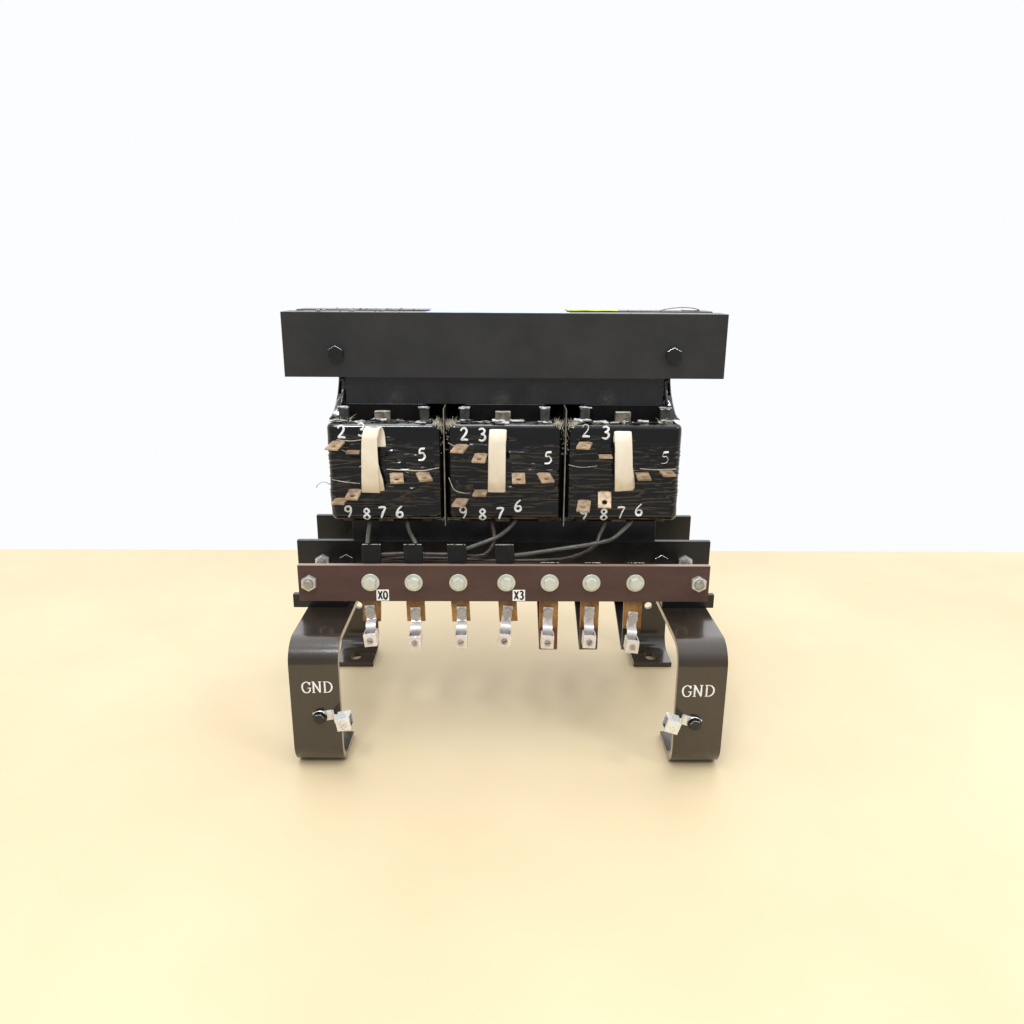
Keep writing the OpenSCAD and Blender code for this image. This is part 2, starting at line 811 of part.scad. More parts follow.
in_frame() upper_yoke();
in_frame() lower_yoke();
in_frame() core_limbs();
in_frame() limb_tubes();
in_frame() inner_windings();
in_frame() winding_left();
in_frame() winding_centre();
in_frame() winding_right();
in_frame() corner_sticks();
in_frame() duct_packs();
in_frame() phase_barriers();
in_frame() end_sheets();
in_frame() upper_clamp_front();
in_frame() upper_clamp_rear();
in_frame() lower_clamp_front();
in_frame() lower_clamp_rear();
in_frame() tie_bolts();
in_frame() tie_nuts();
in_frame() foot_front(0);  // foot_front_left
in_frame() foot_front(1);  // foot_front_right
in_frame() foot_rear(-1);  // foot_rear_left
in_frame() foot_rear(1);  // foot_rear_right
in_frame() foot_bolts();
in_frame() foot_nuts();
in_frame() terminal_board();
in_frame() board_studs();
in_frame() board_nuts();
in_frame() terminal_bars();
in_frame() riser_bars();
in_frame() terminal_bolts();
in_frame() terminal_washers();
in_frame() terminal_nuts();
in_frame() lug_strips();
in_frame() lug_collars();
in_frame() board_lug_screw(0, 20);  // lug_screw_1
in_frame() board_lug_screw(1, -60);  // lug_screw_2
in_frame() board_lug_screw(2, -25);  // lug_screw_3
in_frame() board_lug_screw(3, -35);  // lug_screw_4
in_frame() board_lug_screw(4, -15);  // lug_screw_5
in_frame() board_lug_screw(5, -55);  // lug_screw_6
in_frame() board_lug_screw(6, 80);  // lug_screw_7
in_frame() ground_lug_screw(0, 45);  // lug_screw_8
in_frame() ground_lug_screw(1, -30);  // lug_screw_9
in_frame() lug_bolts();
in_frame() lug_nuts();
in_frame() ground_washers();
in_frame() tap_tabs(-1, taps_left);  // tap_tabs_left
in_frame() tap_tabs(0, taps_centre);  // tap_tabs_centre
in_frame() tap_tabs(1, taps_right);  // tap_tabs_right
in_frame() jumper(-limb_pitch - 14.5);  // jumper_left
in_frame() jumper(-7.5);  // jumper_centre
in_frame() jumper(limb_pitch - 0.5);  // jumper_right
in_frame() coil_leads();
in_frame() neutral_leads();
in_frame() marker_plates();
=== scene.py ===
"""Looks of an open three-phase core-and-coil transformer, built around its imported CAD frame."""
from itertools import accumulate
import math
from math import cos, pi, radians, sin
import random

import bmesh
import bpy
from mathutils import Matrix, Vector, noise


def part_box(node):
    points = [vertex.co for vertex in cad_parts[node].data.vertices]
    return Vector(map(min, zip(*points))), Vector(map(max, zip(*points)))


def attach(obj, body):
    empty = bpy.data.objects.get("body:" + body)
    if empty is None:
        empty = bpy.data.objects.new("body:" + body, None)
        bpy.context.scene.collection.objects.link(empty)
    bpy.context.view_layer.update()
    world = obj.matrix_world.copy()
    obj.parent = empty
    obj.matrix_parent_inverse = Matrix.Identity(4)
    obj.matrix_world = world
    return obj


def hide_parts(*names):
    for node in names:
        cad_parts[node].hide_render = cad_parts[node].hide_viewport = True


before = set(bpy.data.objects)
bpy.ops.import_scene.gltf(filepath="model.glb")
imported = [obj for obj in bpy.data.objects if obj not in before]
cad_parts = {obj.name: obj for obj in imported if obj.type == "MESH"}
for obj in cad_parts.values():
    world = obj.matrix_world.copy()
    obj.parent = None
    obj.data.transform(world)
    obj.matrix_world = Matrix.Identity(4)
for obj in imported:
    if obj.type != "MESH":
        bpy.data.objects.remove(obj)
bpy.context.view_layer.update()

# Measures in millimetres from the core's middle, unless they come straight from a box in metres
BODY = "transformer"
MM = 0.001
yoke_low, yoke_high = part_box("upper_yoke")
MID_Y = (yoke_low.y + yoke_high.y) / 2
CORE_FACE = (yoke_high.y - yoke_low.y) / 2 / MM
winding_low, winding_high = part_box("winding_centre")
COIL_W = (winding_high.x - winding_low.x) / MM
COIL_D = (winding_high.y - winding_low.y) / MM
COIL_Z0 = winding_low.z / MM
COIL_Z1 = winding_high.z / MM
COIL_FACE = COIL_D / 2
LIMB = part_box("winding_right")[1].x / MM - COIL_W / 2
board_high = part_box("terminal_board")[1]
BOARD_BACK = (MID_Y - board_high.y) / MM
BOARD_TOP = board_high.z / MM
FOOT_FACES = [(MID_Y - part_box("foot_front_" + hand)[0].y) / MM for hand in ("left", "right")]
clamp_low, clamp_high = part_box("upper_clamp_front")
CLAMP_REACH = (MID_Y - clamp_low.y) / MM
CLAMP_TOP = clamp_high.z / MM
STICK_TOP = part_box("corner_sticks")[1].z / MM


def at(x, y, z):
    """A point given in millimetres from the core's middle, in the row frame in metres."""
    return Vector((x * MM, y * MM + MID_Y, z * MM))


def drift(x, y, z):
    """Smooth noise between -1 and 1."""
    return noise.noise(Vector((x, y, z)))


def clip(value):
    return min(1.0, max(0.0, value))


def steps(start, length, count):
    """Numbers from start over that length in equal steps."""
    return [start + length * k / count for k in range(count + 1)]


def ring(count):
    """Cosine and sine at equal steps round a circle."""
    return [(cos(a), sin(a)) for a in (2 * pi * k / count for k in range(count))]


def new_object(name, data):
    obj = bpy.data.objects.new(name, data)
    bpy.context.scene.collection.objects.link(obj)
    return obj


# ---- materials
WAVE_BAND = 0.15708  # width in metres of a wave texture's bands at scale 1


def rgb(code):
    """A colour in linear light from its usual six-digit code."""
    parts = [int(code[i:i + 2], 16) / 255 for i in (0, 2, 4)]
    return tuple(p / 12.92 if p <= 0.04045 else ((p + 0.055) / 1.055) ** 2.4 for p in parts) + (1.0,)


class Nodes:
    """Short ways of adding to a node tree."""

    def __init__(self, tree):
        self.tree = tree

    def plug(self, source, socket):
        if isinstance(source, bpy.types.NodeSocket):
            self.tree.links.new(source, socket)
        else:
            socket.default_value = source

    def node(self, kind, **inputs):
        """A new shader node with some inputs linked or set; an underscore stands for a space."""
        node = self.tree.nodes.new("ShaderNode" + kind)
        for name, source in inputs.items():
            self.plug(source, node.inputs[name.replace("_", " ")])
        return node

    def maths(self, kind, a, b=0.0):
        node = self.node("Math")
        node.operation = kind
        self.plug(a, node.inputs[0])
        self.plug(b, node.inputs[1])
        return node.outputs["Value"]

    def times(self, a, b):
        return self.maths("MULTIPLY", a, b)

    def span(self, value, low, high, to_low=0.0, to_high=1.0):
        """Turns low to high into to_low to to_high, and holds the ends."""
        return self.node("MapRange", Value=value, From_Min=low, From_Max=high, To_Min=to_low,
                         To_Max=to_high).outputs["Result"]


class Finish(Nodes):
    """A node material built up around one Principled shader, in object coordinates."""

    def __init__(self, name, **values):
        self.material = bpy.data.materials.new(name)
        self.material.use_nodes = True
        super().__init__(self.material.node_tree)
        self.shader = self.tree.nodes["Principled BSDF"]
        self.place = self.node("TexCoord")
        self.relief = None
        for socket, value in values.items():
            self.shader.inputs[socket.replace("_", " ")].default_value = value

    def where(self, stretch=(1, 1, 1)):
        place = self.place.outputs["Object"]
        return self.node("Mapping", Scale=stretch, Vector=place).outputs["Vector"]

    def noise(self, scale, detail=4.0, rough=0.55, stretch=(1, 1, 1), distortion=0.0):
        return self.node("TexNoise", Scale=scale, Detail=detail, Roughness=rough, Distortion=distortion,
                         Vector=self.where(stretch)).outputs["Fac"]

    def wave(self, band, direction, distortion=0.0, detail=2.0, detail_scale=1.0):
        """Bands of that width in millimetres."""
        node = self.node("TexWave", Scale=WAVE_BAND / (band * MM), Distortion=distortion, Detail=detail,
                         Detail_Scale=detail_scale, Vector=self.where())
        node.bands_direction = direction
        return node.outputs["Fac"]

    def patches(self, scale, detail, low, high, to_low=0.0, to_high=1.0, rough=0.55):
        """Noise, with its values from low to high turned into to_low to to_high."""
        return self.span(self.noise(scale, detail, rough), low, high, to_low, to_high)

    def ramp(self, value, *stops):
        node = self.node("ValToRGB", Fac=value)
        marks = node.color_ramp.elements
        while len(marks) < len(stops):
            marks.new(0.5)
        for mark, (position, colour) in zip(marks, stops):
            mark.position = position
            mark.color = rgb(colour)
        return node.outputs["Color"]

    def mix(self, value, a, b):
        node = self.node("Mix")
        node.data_type = "RGBA"
        for source, index in ((value, 0), (a, 6), (b, 7)):
            self.plug(rgb(source) if isinstance(source, str) else source, node.inputs[index])
        return node.outputs[2]

    def axis(self, name, which):
        """One component, 0 to 2, of the Object or Normal coordinate."""
        return self.node("SeparateXYZ", Vector=self.place.outputs[name]).outputs[which]

    def facing(self, which):
        """1 on faces that look along that axis, either way, and 0 on the rest."""
        return self.span(self.maths("ABSOLUTE", self.axis("Normal", which)), 0.6, 0.9)

    def edges(self, which):
        return self.maths("SUBTRACT", 1.0, self.facing(which))

    def colour(self, source):
        self.base = source
        self.plug(source, self.shader.inputs["Base Color"])

    def tones(self, dark, light, *noise):
        """Two base colours in patches of noise."""
        self.colour(self.ramp(self.noise(*noise), (0.3, dark), (0.7, light)))

    def over(self, amount, colour):
        """Lays a colour over the base colour, where amount is above 0."""
        self.colour(self.mix(amount, self.base, colour))

    def rough(self, low, high, *noise):
        self.plug(self.span(self.noise(*noise), 0.3, 0.7, low, high), self.shader.inputs["Roughness"])

    def bump(self, height, depth):
        """Adds relief of that depth in millimetres."""
        node = self.node("Bump", Strength=1.0, Distance=depth * MM, Height=height)
        if self.relief is not None:
            self.plug(self.relief, node.inputs["Normal"])
        self.relief = node.outputs["Normal"]
        self.plug(self.relief, self.shader.inputs["Normal"])
        return self


def black_steel(name, dark, light, rough, tan=None, coat=0.0, painted_glint=False):
    """Satin black paint over steel, dusty in patches, with fine orange peel and a few scuffs."""
    f = Finish(name, Coat_Weight=coat, Coat_Roughness=0.09)
    f.tones(dark, light, 14, 6, 0.6)
    scuffs = f.span(f.noise(160, 8, 0.75, (1, 1, 0.35)), 0.66, 0.78)
    f.over(f.times(scuffs, 0.25), "5b5650")
    # tan side faces: bare sheared steel, partly a painted reflection of the warm table top
    if tan:
        f.over(f.times(f.facing(0), f.patches(45, 5, 0.25, 0.6, 0.35, 1.0)), tan)
    # painted highlight: chamfers facing up and to the front are painted pale bare steel where the lamps
    # would glint on them
    if painted_glint:
        glint_facets = f.times(f.span(f.axis("Normal", 2), 0.22, 0.42),
                       f.span(f.axis("Normal", 1), -0.25, -0.45))
        f.over(glint_facets, "e4e4e2")
        f.plug(glint_facets, f.shader.inputs["Metallic"])
    f.rough(*rough, 38, 5, 0.6)
    f.bump(f.noise(900, 3), 0.05).bump(f.noise(120, 4), 0.12)
    return f.material


def metal(name, low, high, rough, scale=350, grain=0.03, metallic=1.0, tint=None):
    """Bare or plated metal, slightly uneven in colour and polish."""
    f = Finish(name, Metallic=metallic)
    f.tones(low, high, scale, 3, 0.5)
    if tint:
        f.over(f.patches(scale / 4, 4, 0.5, 0.75), tint)
    f.rough(*rough, scale * 1.7, 2, 0.5)
    f.bump(f.noise(scale * 4, 3), grain).bump(f.noise(scale, 4), grain * 2)
    return f.material


YOKE_BLOTS = (-114.5, -3.1, 106.7)  # X of dusty blots, each at a height of 355 mm


def core_finish():
    """Varnished steel: plain in front, with the edges of the sheets on top and at the ends."""
    f = Finish("core_varnish", Coat_Weight=0.35, Coat_Roughness=0.2)
    sheets = f.wave(0.5, "Y", 3.0, 3.0, 2.0)
    edge = f.edges(1)
    f.tones("0e0e11", "222226", 22, 6, 0.6)
    streaks = f.span(f.noise(60, 5, 0.7, (1, 1, 0.12)), 0.52, 0.7)
    f.over(f.times(streaks, 0.5), "08080a")
    f.over(f.times(edge, f.span(sheets, 0.35, 0.9, 0.0, 0.35)), "4a4038")
    for x in YOKE_BLOTS:
        gap = f.node("VectorMath")
        gap.operation = "DISTANCE"
        f.plug(f.where(), gap.inputs[0])
        gap.inputs[1].default_value = at(x, -CORE_FACE, 355)
        blot = f.span(gap.outputs["Value"], 0.003, 0.0125, 0.32, 0.0)
        f.over(f.times(blot, f.patches(220, 5, 0.35, 0.6, rough=0.7)), "635c52")
    f.rough(0.22, 0.5, 40, 5, 0.7, (1, 1, 0.3))
    f.bump(f.times(sheets, edge), 0.25).bump(f.noise(140, 4, 0.6, (1, 1, 0.4)), 0.25)
    return f.material


def varnish_finish():
    """Tape-wound coil under wet black varnish, with a painted brown reflection of the table along its
    lower edge, and runs in the middle.
    """
    f = Finish("coil_varnish", Coat_Weight=0.9, Coat_Roughness=0.05, Specular_IOR_Level=0.2)
    f.colour(f.ramp(f.noise(26, 7, 0.65, (1, 1, 3.2), 0.6),
                    (0.40, "040406"), (0.64, "09090b"), (0.84, "15110f")))
    threads = f.span(f.noise(900, 3, 0.6, (0.05, 0.05, 1.0)), 0.55, 0.75)
    f.over(f.times(threads, 0.22), "1f1b19")
    height = f.axis("Object", 2)
    # painted reflection of the table: the lower rim is painted brown
    table_reflection_rim = f.span(height, (COIL_Z0 + 1.5) * MM, (COIL_Z0 + 4.5) * MM, 1.0, 0.0)
    f.over(f.times(table_reflection_rim, f.patches(120, 5, 0.3, 0.65, 0.2, 0.9, rough=0.7)), "5b4029")
    # pale crust on the upward faces of the top edge, partly a painted highlight where the top edge
    # catches the light
    crust_and_top_sheen = f.times(f.span(f.axis("Normal", 2), 0.55, 0.9),
                  f.patches(110, 6, 0.44, 0.62, 0.0, 0.8, rough=0.75))
    f.over(crust_and_top_sheen, "7f7c74")
    f.rough(0.12, 0.3, 90, 5, 0.7, (1, 1, 2.5))
    band = f.times(f.span(height, (COIL_Z0 + 17) * MM, (COIL_Z0 + 23) * MM),
                   f.span(height, (COIL_Z1 - 14) * MM, (COIL_Z1 - 21) * MM))
    runs = f.times(f.noise(420, 3, 0.5, (0.10, 0.10, 1.0)),
                   f.times(band, f.patches(38, 4, 0.38, 0.6, 0.25, 1.0, rough=0.5)))
    f.bump(f.noise(700, 4, 0.6, (0.12, 0.12, 1.0)), 0.2)
    f.bump(f.noise(170, 5, 0.6, (0.5, 0.5, 1.0)), 0.22).bump(runs, 0.9)
    return f.material


def crust_finish(name, dark, light, crest):
    """Spacers and paper ends under runs of varnish, chalky on the upper faces."""
    f = Finish(name, Coat_Weight=0.3, Coat_Roughness=0.2)
    f.colour(f.ramp(f.noise(170, 6, 0.7), (0.35, dark), (0.68, light)))
    top = f.times(f.span(f.axis("Normal", 2), 0.3, 0.8), f.patches(260, 6, 0.38, 0.6, rough=0.8))
    f.over(top, crest)
    f.rough(0.3, 0.65, 200, 5)
    f.bump(f.noise(420, 5, 0.7), 0.35)
    return f.material


def barrier_finish():
    """Dark varnished sheet between the coils, its edges pale and fibrous."""
    f = Finish("barrier_sheet", Coat_Weight=0.2, Coat_Roughness=0.3)
    f.tones("0f0d0b", "231d18", 60, 6, 0.65, (1, 1, 0.3))
    edge = f.times(f.edges(0), f.patches(130, 5, 0.3, 0.6, 0.45, 1.0))
    f.over(edge, "8d8476")
    f.rough(0.35, 0.6, 200, 5)
    f.bump(f.noise(240, 5, 0.7, (1, 1, 0.4)), 0.25)
    return f.material


def board_finish():
    """Red-brown phenolic laminate with faint stains and a paler sawn edge."""
    f = Finish("board_laminate")
    f.tones("402a26", "543a34", 18, 6, 0.6, (0.5, 1, 2))
    fibres = f.span(f.noise(500, 4, 0.7, (0.12, 1, 1)), 0.45, 0.75)
    f.over(f.times(fibres, 0.22), "2f1d19")
    stains = f.patches(75, 5, 0.60, 0.72, rough=0.6)
    f.over(f.times(stains, 0.4), "4a1e1c")
    sawn = f.mix(f.times(f.wave(0.8, "Y", 1.0), 0.5), "8d7264", "b39c8b")
    f.over(f.times(f.edges(1), 0.85), sawn)
    f.rough(0.30, 0.48, 60, 5)
    f.bump(f.noise(800, 3, 0.6, (0.2, 1, 1)), 0.05).bump(f.noise(30, 3), 0.12)
    return f.material


def bar_finish():
    """Copper bar under amber varnish, darkened by painted shadow towards the board above, and darker in
    patches near its lower end.
    """
    f = Finish("amber_copper", Metallic=0.55, Coat_Weight=0.5, Coat_Roughness=0.15)
    f.colour(f.ramp(f.noise(75, 6, 0.65, (1, 1, 0.5)),
                    (0.28, "5f3c1c"), (0.5, "8f6632"), (0.74, "bd9359")))
    height = f.axis("Object", 2)
    # painted shadow of the board: the bar darkens just under it
    board_shadow = f.times(f.span(height, 0.146, 0.157, 0.0, 0.9), f.patches(130, 4, 0.3, 0.6, 0.5, 1.0))
    f.over(board_shadow, "33180c")
    low = f.times(f.span(height, 0.1245, 0.128, 0.7, 0.0), f.patches(90, 4, 0.3, 0.6))
    f.over(low, "5a2d12")
    f.rough(0.2, 0.45, 140, 5, 0.7)
    f.bump(f.noise(260, 5), 0.12)
    return f.material


def sleeve_finish(name, dark, light, rough=(0.3, 0.5), weave=0.25):
    """Varnished woven sleeving."""
    f = Finish(name, Coat_Weight=0.35, Coat_Roughness=0.15)
    relief = f.maths("MAXIMUM", f.wave(0.9, "DIAGONAL", 1.2), f.wave(0.9, "Z", 1.2))
    f.colour(f.ramp(f.noise(60, 6, 0.6), (0.32, dark), (0.7, light)))
    f.over(f.span(relief, 0.3, 0.95, 0.4, 0.0), "0d0c0a")
    f.rough(*rough, 150, 4)
    f.bump(relief, weave).bump(f.noise(200, 4), 0.2)
    return f.material


def strap_finish():
    """Flat cotton-and-glass sleeving, cream, yellower low down where varnish has soaked in."""
    f = Finish("cream_webbing", Sheen_Weight=0.15)
    f.tones("e9dcc2", "f6eddc", 45, 5, 0.6, (1, 1, 0.5))
    soaked = f.times(f.span(f.axis("Object", 2), 0.262, 0.300, 0.75, 0.0), f.patches(70, 5, 0.25, 0.6))
    f.over(soaked, "d6bd94")
    cloth = f.times(f.wave(0.75, "X", 0.6), f.wave(0.6, "Z", 0.8))
    f.over(f.span(cloth, 0.0, 0.5, 0.12, 0.0), "b79f74")
    f.rough(0.55, 0.75, 120, 4)
    f.bump(cloth, 0.09).bump(f.noise(90, 4), 0.3)
    return f.material


def plain(name, low, high, rough=(0.4, 0.6), scale=200, depth=0.05, **values):
    """An even finish, slightly uneven in colour and gloss."""
    f = Finish(name, **values)
    f.tones(low, high, scale, 5, 0.65)
    f.rough(*rough, scale * 1.5, 4)
    f.bump(f.noise(scale * 3, 4), depth)
    return f.material


CLAMP = black_steel("clamp_paint", "242424", "333231", (0.30, 0.44))
LOWER = black_steel("lower_clamp_paint", "0d0d0e", "181817", (0.24, 0.42))
# the feet's black paint is tinted brown, partly a painted reflection of the warm table
FOOT = black_steel("foot_paint_and_reflection", "2e261f", "3d3227", (0.16, 0.30), tan="86765f", coat=0.6)
# the fasteners' chamfers facing up and forward carry painted highlights
FASTENER = black_steel("black_fastener", "151516", "232223", (0.2, 0.32), painted_glint=True)
CORE = core_finish()
VARNISH = varnish_finish()
CRUST = crust_finish("varnished_spacer", "121210", "3c3b38", "e8e6df")
PAPER = crust_finish("varnished_paper", "3a342c", "8a8172", "d9d6cb")
FLAKE = crust_finish("paper_flakes", "86847d", "cbc9c2", "e6e4dd")
TUBE = plain("varnished_tube", "070606", "14110f", (0.7, 0.9), 120, 0.2, Specular_IOR_Level=0.15)
BARRIER = barrier_finish()
SHEET = plain("dark_sheet", "0b0b10", "1c1a1e", (0.14, 0.36), 60, 0.25, Coat_Weight=0.6)
BOARD = board_finish()
BAR = bar_finish()
SLATE = plain("slate_sleeve", "0d1015", "191c22", (0.34, 0.5), 160, 0.1, Specular_IOR_Level=0.25)
RISERS = [sleeve_finish("riser_" + name, dark, light, weave=0.12) for name, dark, light in (
    ("red_brown", "5a2410", "7c3a18"), ("olive", "2a2116", "3d3122"), ("black", "100d0b", "241b15"))]
ZINC = metal("zinc_plate", "bdbdb8", "e6e6e1", (0.22, 0.38), 200, 0.03, 0.6, tint="cfc9ae")
PLATED = plain("pale_plating", "c6c8bb", "dbddd1", (0.26, 0.36), 40, 0.012, Metallic=0.5)
HEADS = plain("plated_heads", "c0c2b6", "d2d4ca", (0.2, 0.3), 40, 0.012, Metallic=0.12)
BOLT = metal("lug_bolt_steel", "96928d", "b3afab", (0.2, 0.34), 90, 0.012, 0.25)
SCREW = metal("clamp_screw_steel", "8a8581", "b0aba7", (0.2, 0.36), 90, 0.012, 0.5)
THREADED = metal("threaded_zinc", "8d8a84", "bcb9b2", (0.25, 0.42), 300, 0.04, 0.7)
TIN = metal("tinned_copper", "cfc7c3", "ece6e2", (0.22, 0.36), 90, 0.012, 0.4, tint="d6c6be")
SILVERED = metal("silvered_copper", "d2d2cc", "f2f2ee", (0.2, 0.34), 90, 0.012, 0.4)
STEEL = metal("lug_steel", "b6aeaa", "dad4d0", (0.22, 0.38), 90, 0.012, 0.45)
COPPER = metal("tap_copper", "947c63", "d0b495", (0.30, 0.5), 240, 0.05, 0.15, tint="6b543f")
# painted shade for the collars' inner walls
COLLAR_SHADE = plain("collar_inner_shade", "1b1917", "332f2c", (0.5, 0.7), 300, 0.05)
STRAP = strap_finish()
LEAD = sleeve_finish("lead_sleeve", "37362f", "5f5d54")
NEUTRAL = sleeve_finish("neutral_sleeve", "261d1a", "4d3e36")
PAINT = plain("white_paint", "dcdbd6", "ffffff", (0.45, 0.65), 420, 0.08)
LABEL = plain("white_label", "efeeea", "fdfdfb", (0.45, 0.6), 90, 0.02)
INK = plain("black_ink", "0b0b0c", "17171a", (0.4, 0.6), 300, 0.02)
FIBRE = plain("glass_fibre", "cfc8b4", "f4efdf", (0.5, 0.7), 300, 0.05)
THREAD = plain("binding_thread", "8d8676", "d5cfbf", (0.4, 0.6), 300, 0.05)
LIME = plain("lime_tape", "b9c81f", "dfe84a", (0.3, 0.5), 120, 0.05)
SILVER = plain("silver_film", "a5afc6", "b7c0d4", (0.4, 0.55), 9, 0.06, Specular_IOR_Level=0.1)
BEAD = plain("varnish_bead", "070606", "1a1210", (0.05, 0.15), 300, 0.02, Coat_Weight=1.0)


# ---- pieces
def finish_piece(obj, material, slot, replaces=(), body=BODY):
    obj.data.materials.clear()
    obj.data.materials.append(material)
    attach(obj, body)
    if replaces:
        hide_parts(*replaces)
    return obj


def weld(mesh, distance, flatten=0.0):
    """Joins points that close, merges faces within flatten degrees and turns all faces outwards."""
    shape = bmesh.new()
    shape.from_mesh(mesh)
    bmesh.ops.remove_doubles(shape, verts=shape.verts, dist=distance)
    if flatten:
        bmesh.ops.dissolve_limit(shape, angle_limit=radians(flatten), verts=shape.verts,
                                 edges=shape.edges)
    bmesh.ops.recalc_face_normals(shape, faces=shape.faces)
    shape.to_mesh(mesh)
    shape.free()


def piece(name, points, faces, material, sharp=40, **rest):
    """A new mesh piece from points in metres."""
    mesh = bpy.data.meshes.new(name)
    mesh.from_pydata([tuple(p) for p in points], [], faces)
    weld(mesh, 1e-7)
    mesh.shade_smooth()
    mesh.set_sharp_from_angle(angle=radians(sharp))
    return finish_piece(new_object(name, mesh), material, **rest)


def part_middles(mesh):
    """For each vertex, the middle of the loose part that it belongs to."""
    parts = [{i} for i in range(len(mesh.vertices))]
    for edge in mesh.edges:
        small, large = sorted((parts[i] for i in edge.vertices), key=len)
        if small is not large:
            large |= small
            for i in small:
                parts[i] = large
    middles = {}
    for part in parts:
        if id(part) not in middles:
            points = [mesh.vertices[i].co for i in part]
            middles[id(part)] = Vector([(min(along) + max(along)) / 2 for along in zip(*points)])
    return [middles[id(part)] for part in parts]


def eased(node, material, width, slot, body=BODY, segments=2, others=(), choose=None):
    """A piece with a CAD node's shape and softly rounded edges, which stands for that node.

    choose, where given, turns a face's middle, normal and its loose part's middle into 0 for the first
    finish or 1 upwards for the others.
    """
    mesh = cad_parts[node].data.copy()
    weld(mesh, 2e-6, 0.4)
    custom = mesh.attributes.get("custom_normal")
    if custom:
        mesh.attributes.remove(custom)
    mesh.shade_smooth()
    obj = finish_piece(new_object(node + "_finished", mesh), material, slot, (node,), body)
    for other in others:
        mesh.materials.append(other)
    if choose:
        middles = part_middles(mesh)
        for face in mesh.polygons:
            face.material_index = choose(face.center, face.normal, middles[face.vertices[0]])
    if not width:
        mesh.set_sharp_from_angle(angle=radians(50))
        return
    round_off = obj.modifiers.new("edges", "BEVEL")
    round_off.width = width * MM
    round_off.segments = segments
    round_off.limit_method = "ANGLE"
    round_off.angle_limit = radians(32)
    normals = obj.modifiers.new("normals", "WEIGHTED_NORMAL")
    normals.keep_sharp = True
    normals.weight = 80


def thicken(obj, thickness, offset=-1.0):
    solid = obj.modifiers.new("thickness", "SOLIDIFY")
    solid.thickness = thickness * MM
    solid.offset = offset


class Build:
    """Collects points and faces of one piece."""

    def __init__(self):
        self.points = []
        self.faces = []

    def grid(self, rows, close_row=False, close_column=False):
        """Faces over rows of equally many points."""
        start, n, m = len(self.points), len(rows), len(rows[0])
        for i in range(n if close_column else n - 1):
            for j in range(m if close_row else m - 1):
                up, along = (i + 1) % n, (j + 1) % m
                corners = (i * m + j, i * m + along, up * m + along, up * m + j)
                self.faces.append(tuple(start + corner for corner in corners))
        self.points.extend(p for row in rows for p in row)

    def rings(self, rows, floor=False, roof=False):
        """Faces over closed rings, with or without a face across the first and the last."""
        start, m = len(self.points), len(rows[0])
        self.grid(rows, close_row=True)
        if floor:
            self.faces.append(tuple(range(start + m - 1, start - 1, -1)))
        if roof:
            self.faces.append(tuple(range(len(self.points) - m, len(self.points))))

    def tube(self, path, radius, sides=10, flat=1.0, capped=True, up=(1, 0.3, 0.2)):
        """A tube along points, radius a number or one a point; flat squeezes it across."""
        rows = []
        side = Vector(up)
        last = len(path) - 1
        for i, p in enumerate(path):
            t = (path[min(i + 1, last)] - path[max(i - 1, 0)]).normalized()
            side = (side - side.dot(t) * t).normalized()
            other = t.cross(side)
            r = radius[i] if isinstance(radius, list) else radius
            rows.append([p + side * (r * c) + other * (r * flat * s) for c, s in ring(sides)])
        self.rings(rows, capped, capped)

    def make(self, name, material, **rest):
        return piece(name, self.points, self.faces, material, **rest)


def sheet(name, rows, material, **rest):
    """A piece stretched over rows of points."""
    shape = Build()
    shape.grid(rows)
    return shape.make(name, material, **rest)


def oblong(count, half_width, half_thick, end_power, face_power):
    """Points round a flattened section; the lower the powers, the squarer it is."""
    return [(half_width * math.copysign(abs(c) ** end_power, c),
             half_thick * math.copysign(abs(s) ** face_power, s)) for c, s in ring(count)]


def spline(points, count):
    """Catmull-Rom points through the given ones."""
    points = [Vector(p) for p in points]
    out = []
    last = len(points) - 1
    for i in range(last):
        a, b, c, d = points[max(i - 1, 0)], points[i], points[i + 1], points[min(i + 2, last)]
        for k in range(count):
            u = k / count
            out.append(0.5 * (2 * b + (c - a) * u + (2 * a - 5 * b + 4 * c - d) * u * u
                              + (3 * b - a - 3 * c + d) * u * u * u))
    out.append(points[last])
    return out


# ---- camera and studio
CAMERA_PLACE = at(-2.3, -878.1, 478.4)
CAMERA_ANGLES = (-0.72, 16.39, 0.39)  # degrees: yaw to the left, pitch down, roll
CAMERA_LENS, SENSOR = 28.125, 36
FLOOR_SIDE, FLOOR_FRONT, FLOOR_BACK = 2.4, -0.62, at(0, 500, 0).y
LAMPS = (("overhead", (-0.1, -0.42, 1.8), 0.7, 10), ("front", (-0.35, -1.2, 1.4), 0.22, 7),
         ("side", (1.1, -0.9, 1.3), 0.2, 5))  # name, place, size in metres, watts
LAMP_COLOUR = (0.93, 0.97, 1.0)
ROOM_COLOUR = (0.97, 0.98, 1.0, 1)


def camera():
    lens = bpy.data.cameras.new("camera")
    lens.lens = CAMERA_LENS
    lens.sensor_width = SENSOR
    lens.clip_start = 0.01
    obj = new_object("camera", lens)
    yaw, pitch, roll = (radians(angle) for angle in CAMERA_ANGLES)
    forward = Vector((-sin(yaw) * cos(pitch), cos(yaw) * cos(pitch), -sin(pitch)))
    right = Vector((cos(yaw), sin(yaw), 0))
    up = right.cross(forward)
    turned = cos(roll) * right + sin(roll) * up
    upright = -sin(roll) * right + cos(roll) * up
    pose = Matrix((turned, upright, -forward)).transposed().to_4x4()
    pose.translation = CAMERA_PLACE
    obj.matrix_world = pose
    bpy.context.scene.camera = obj


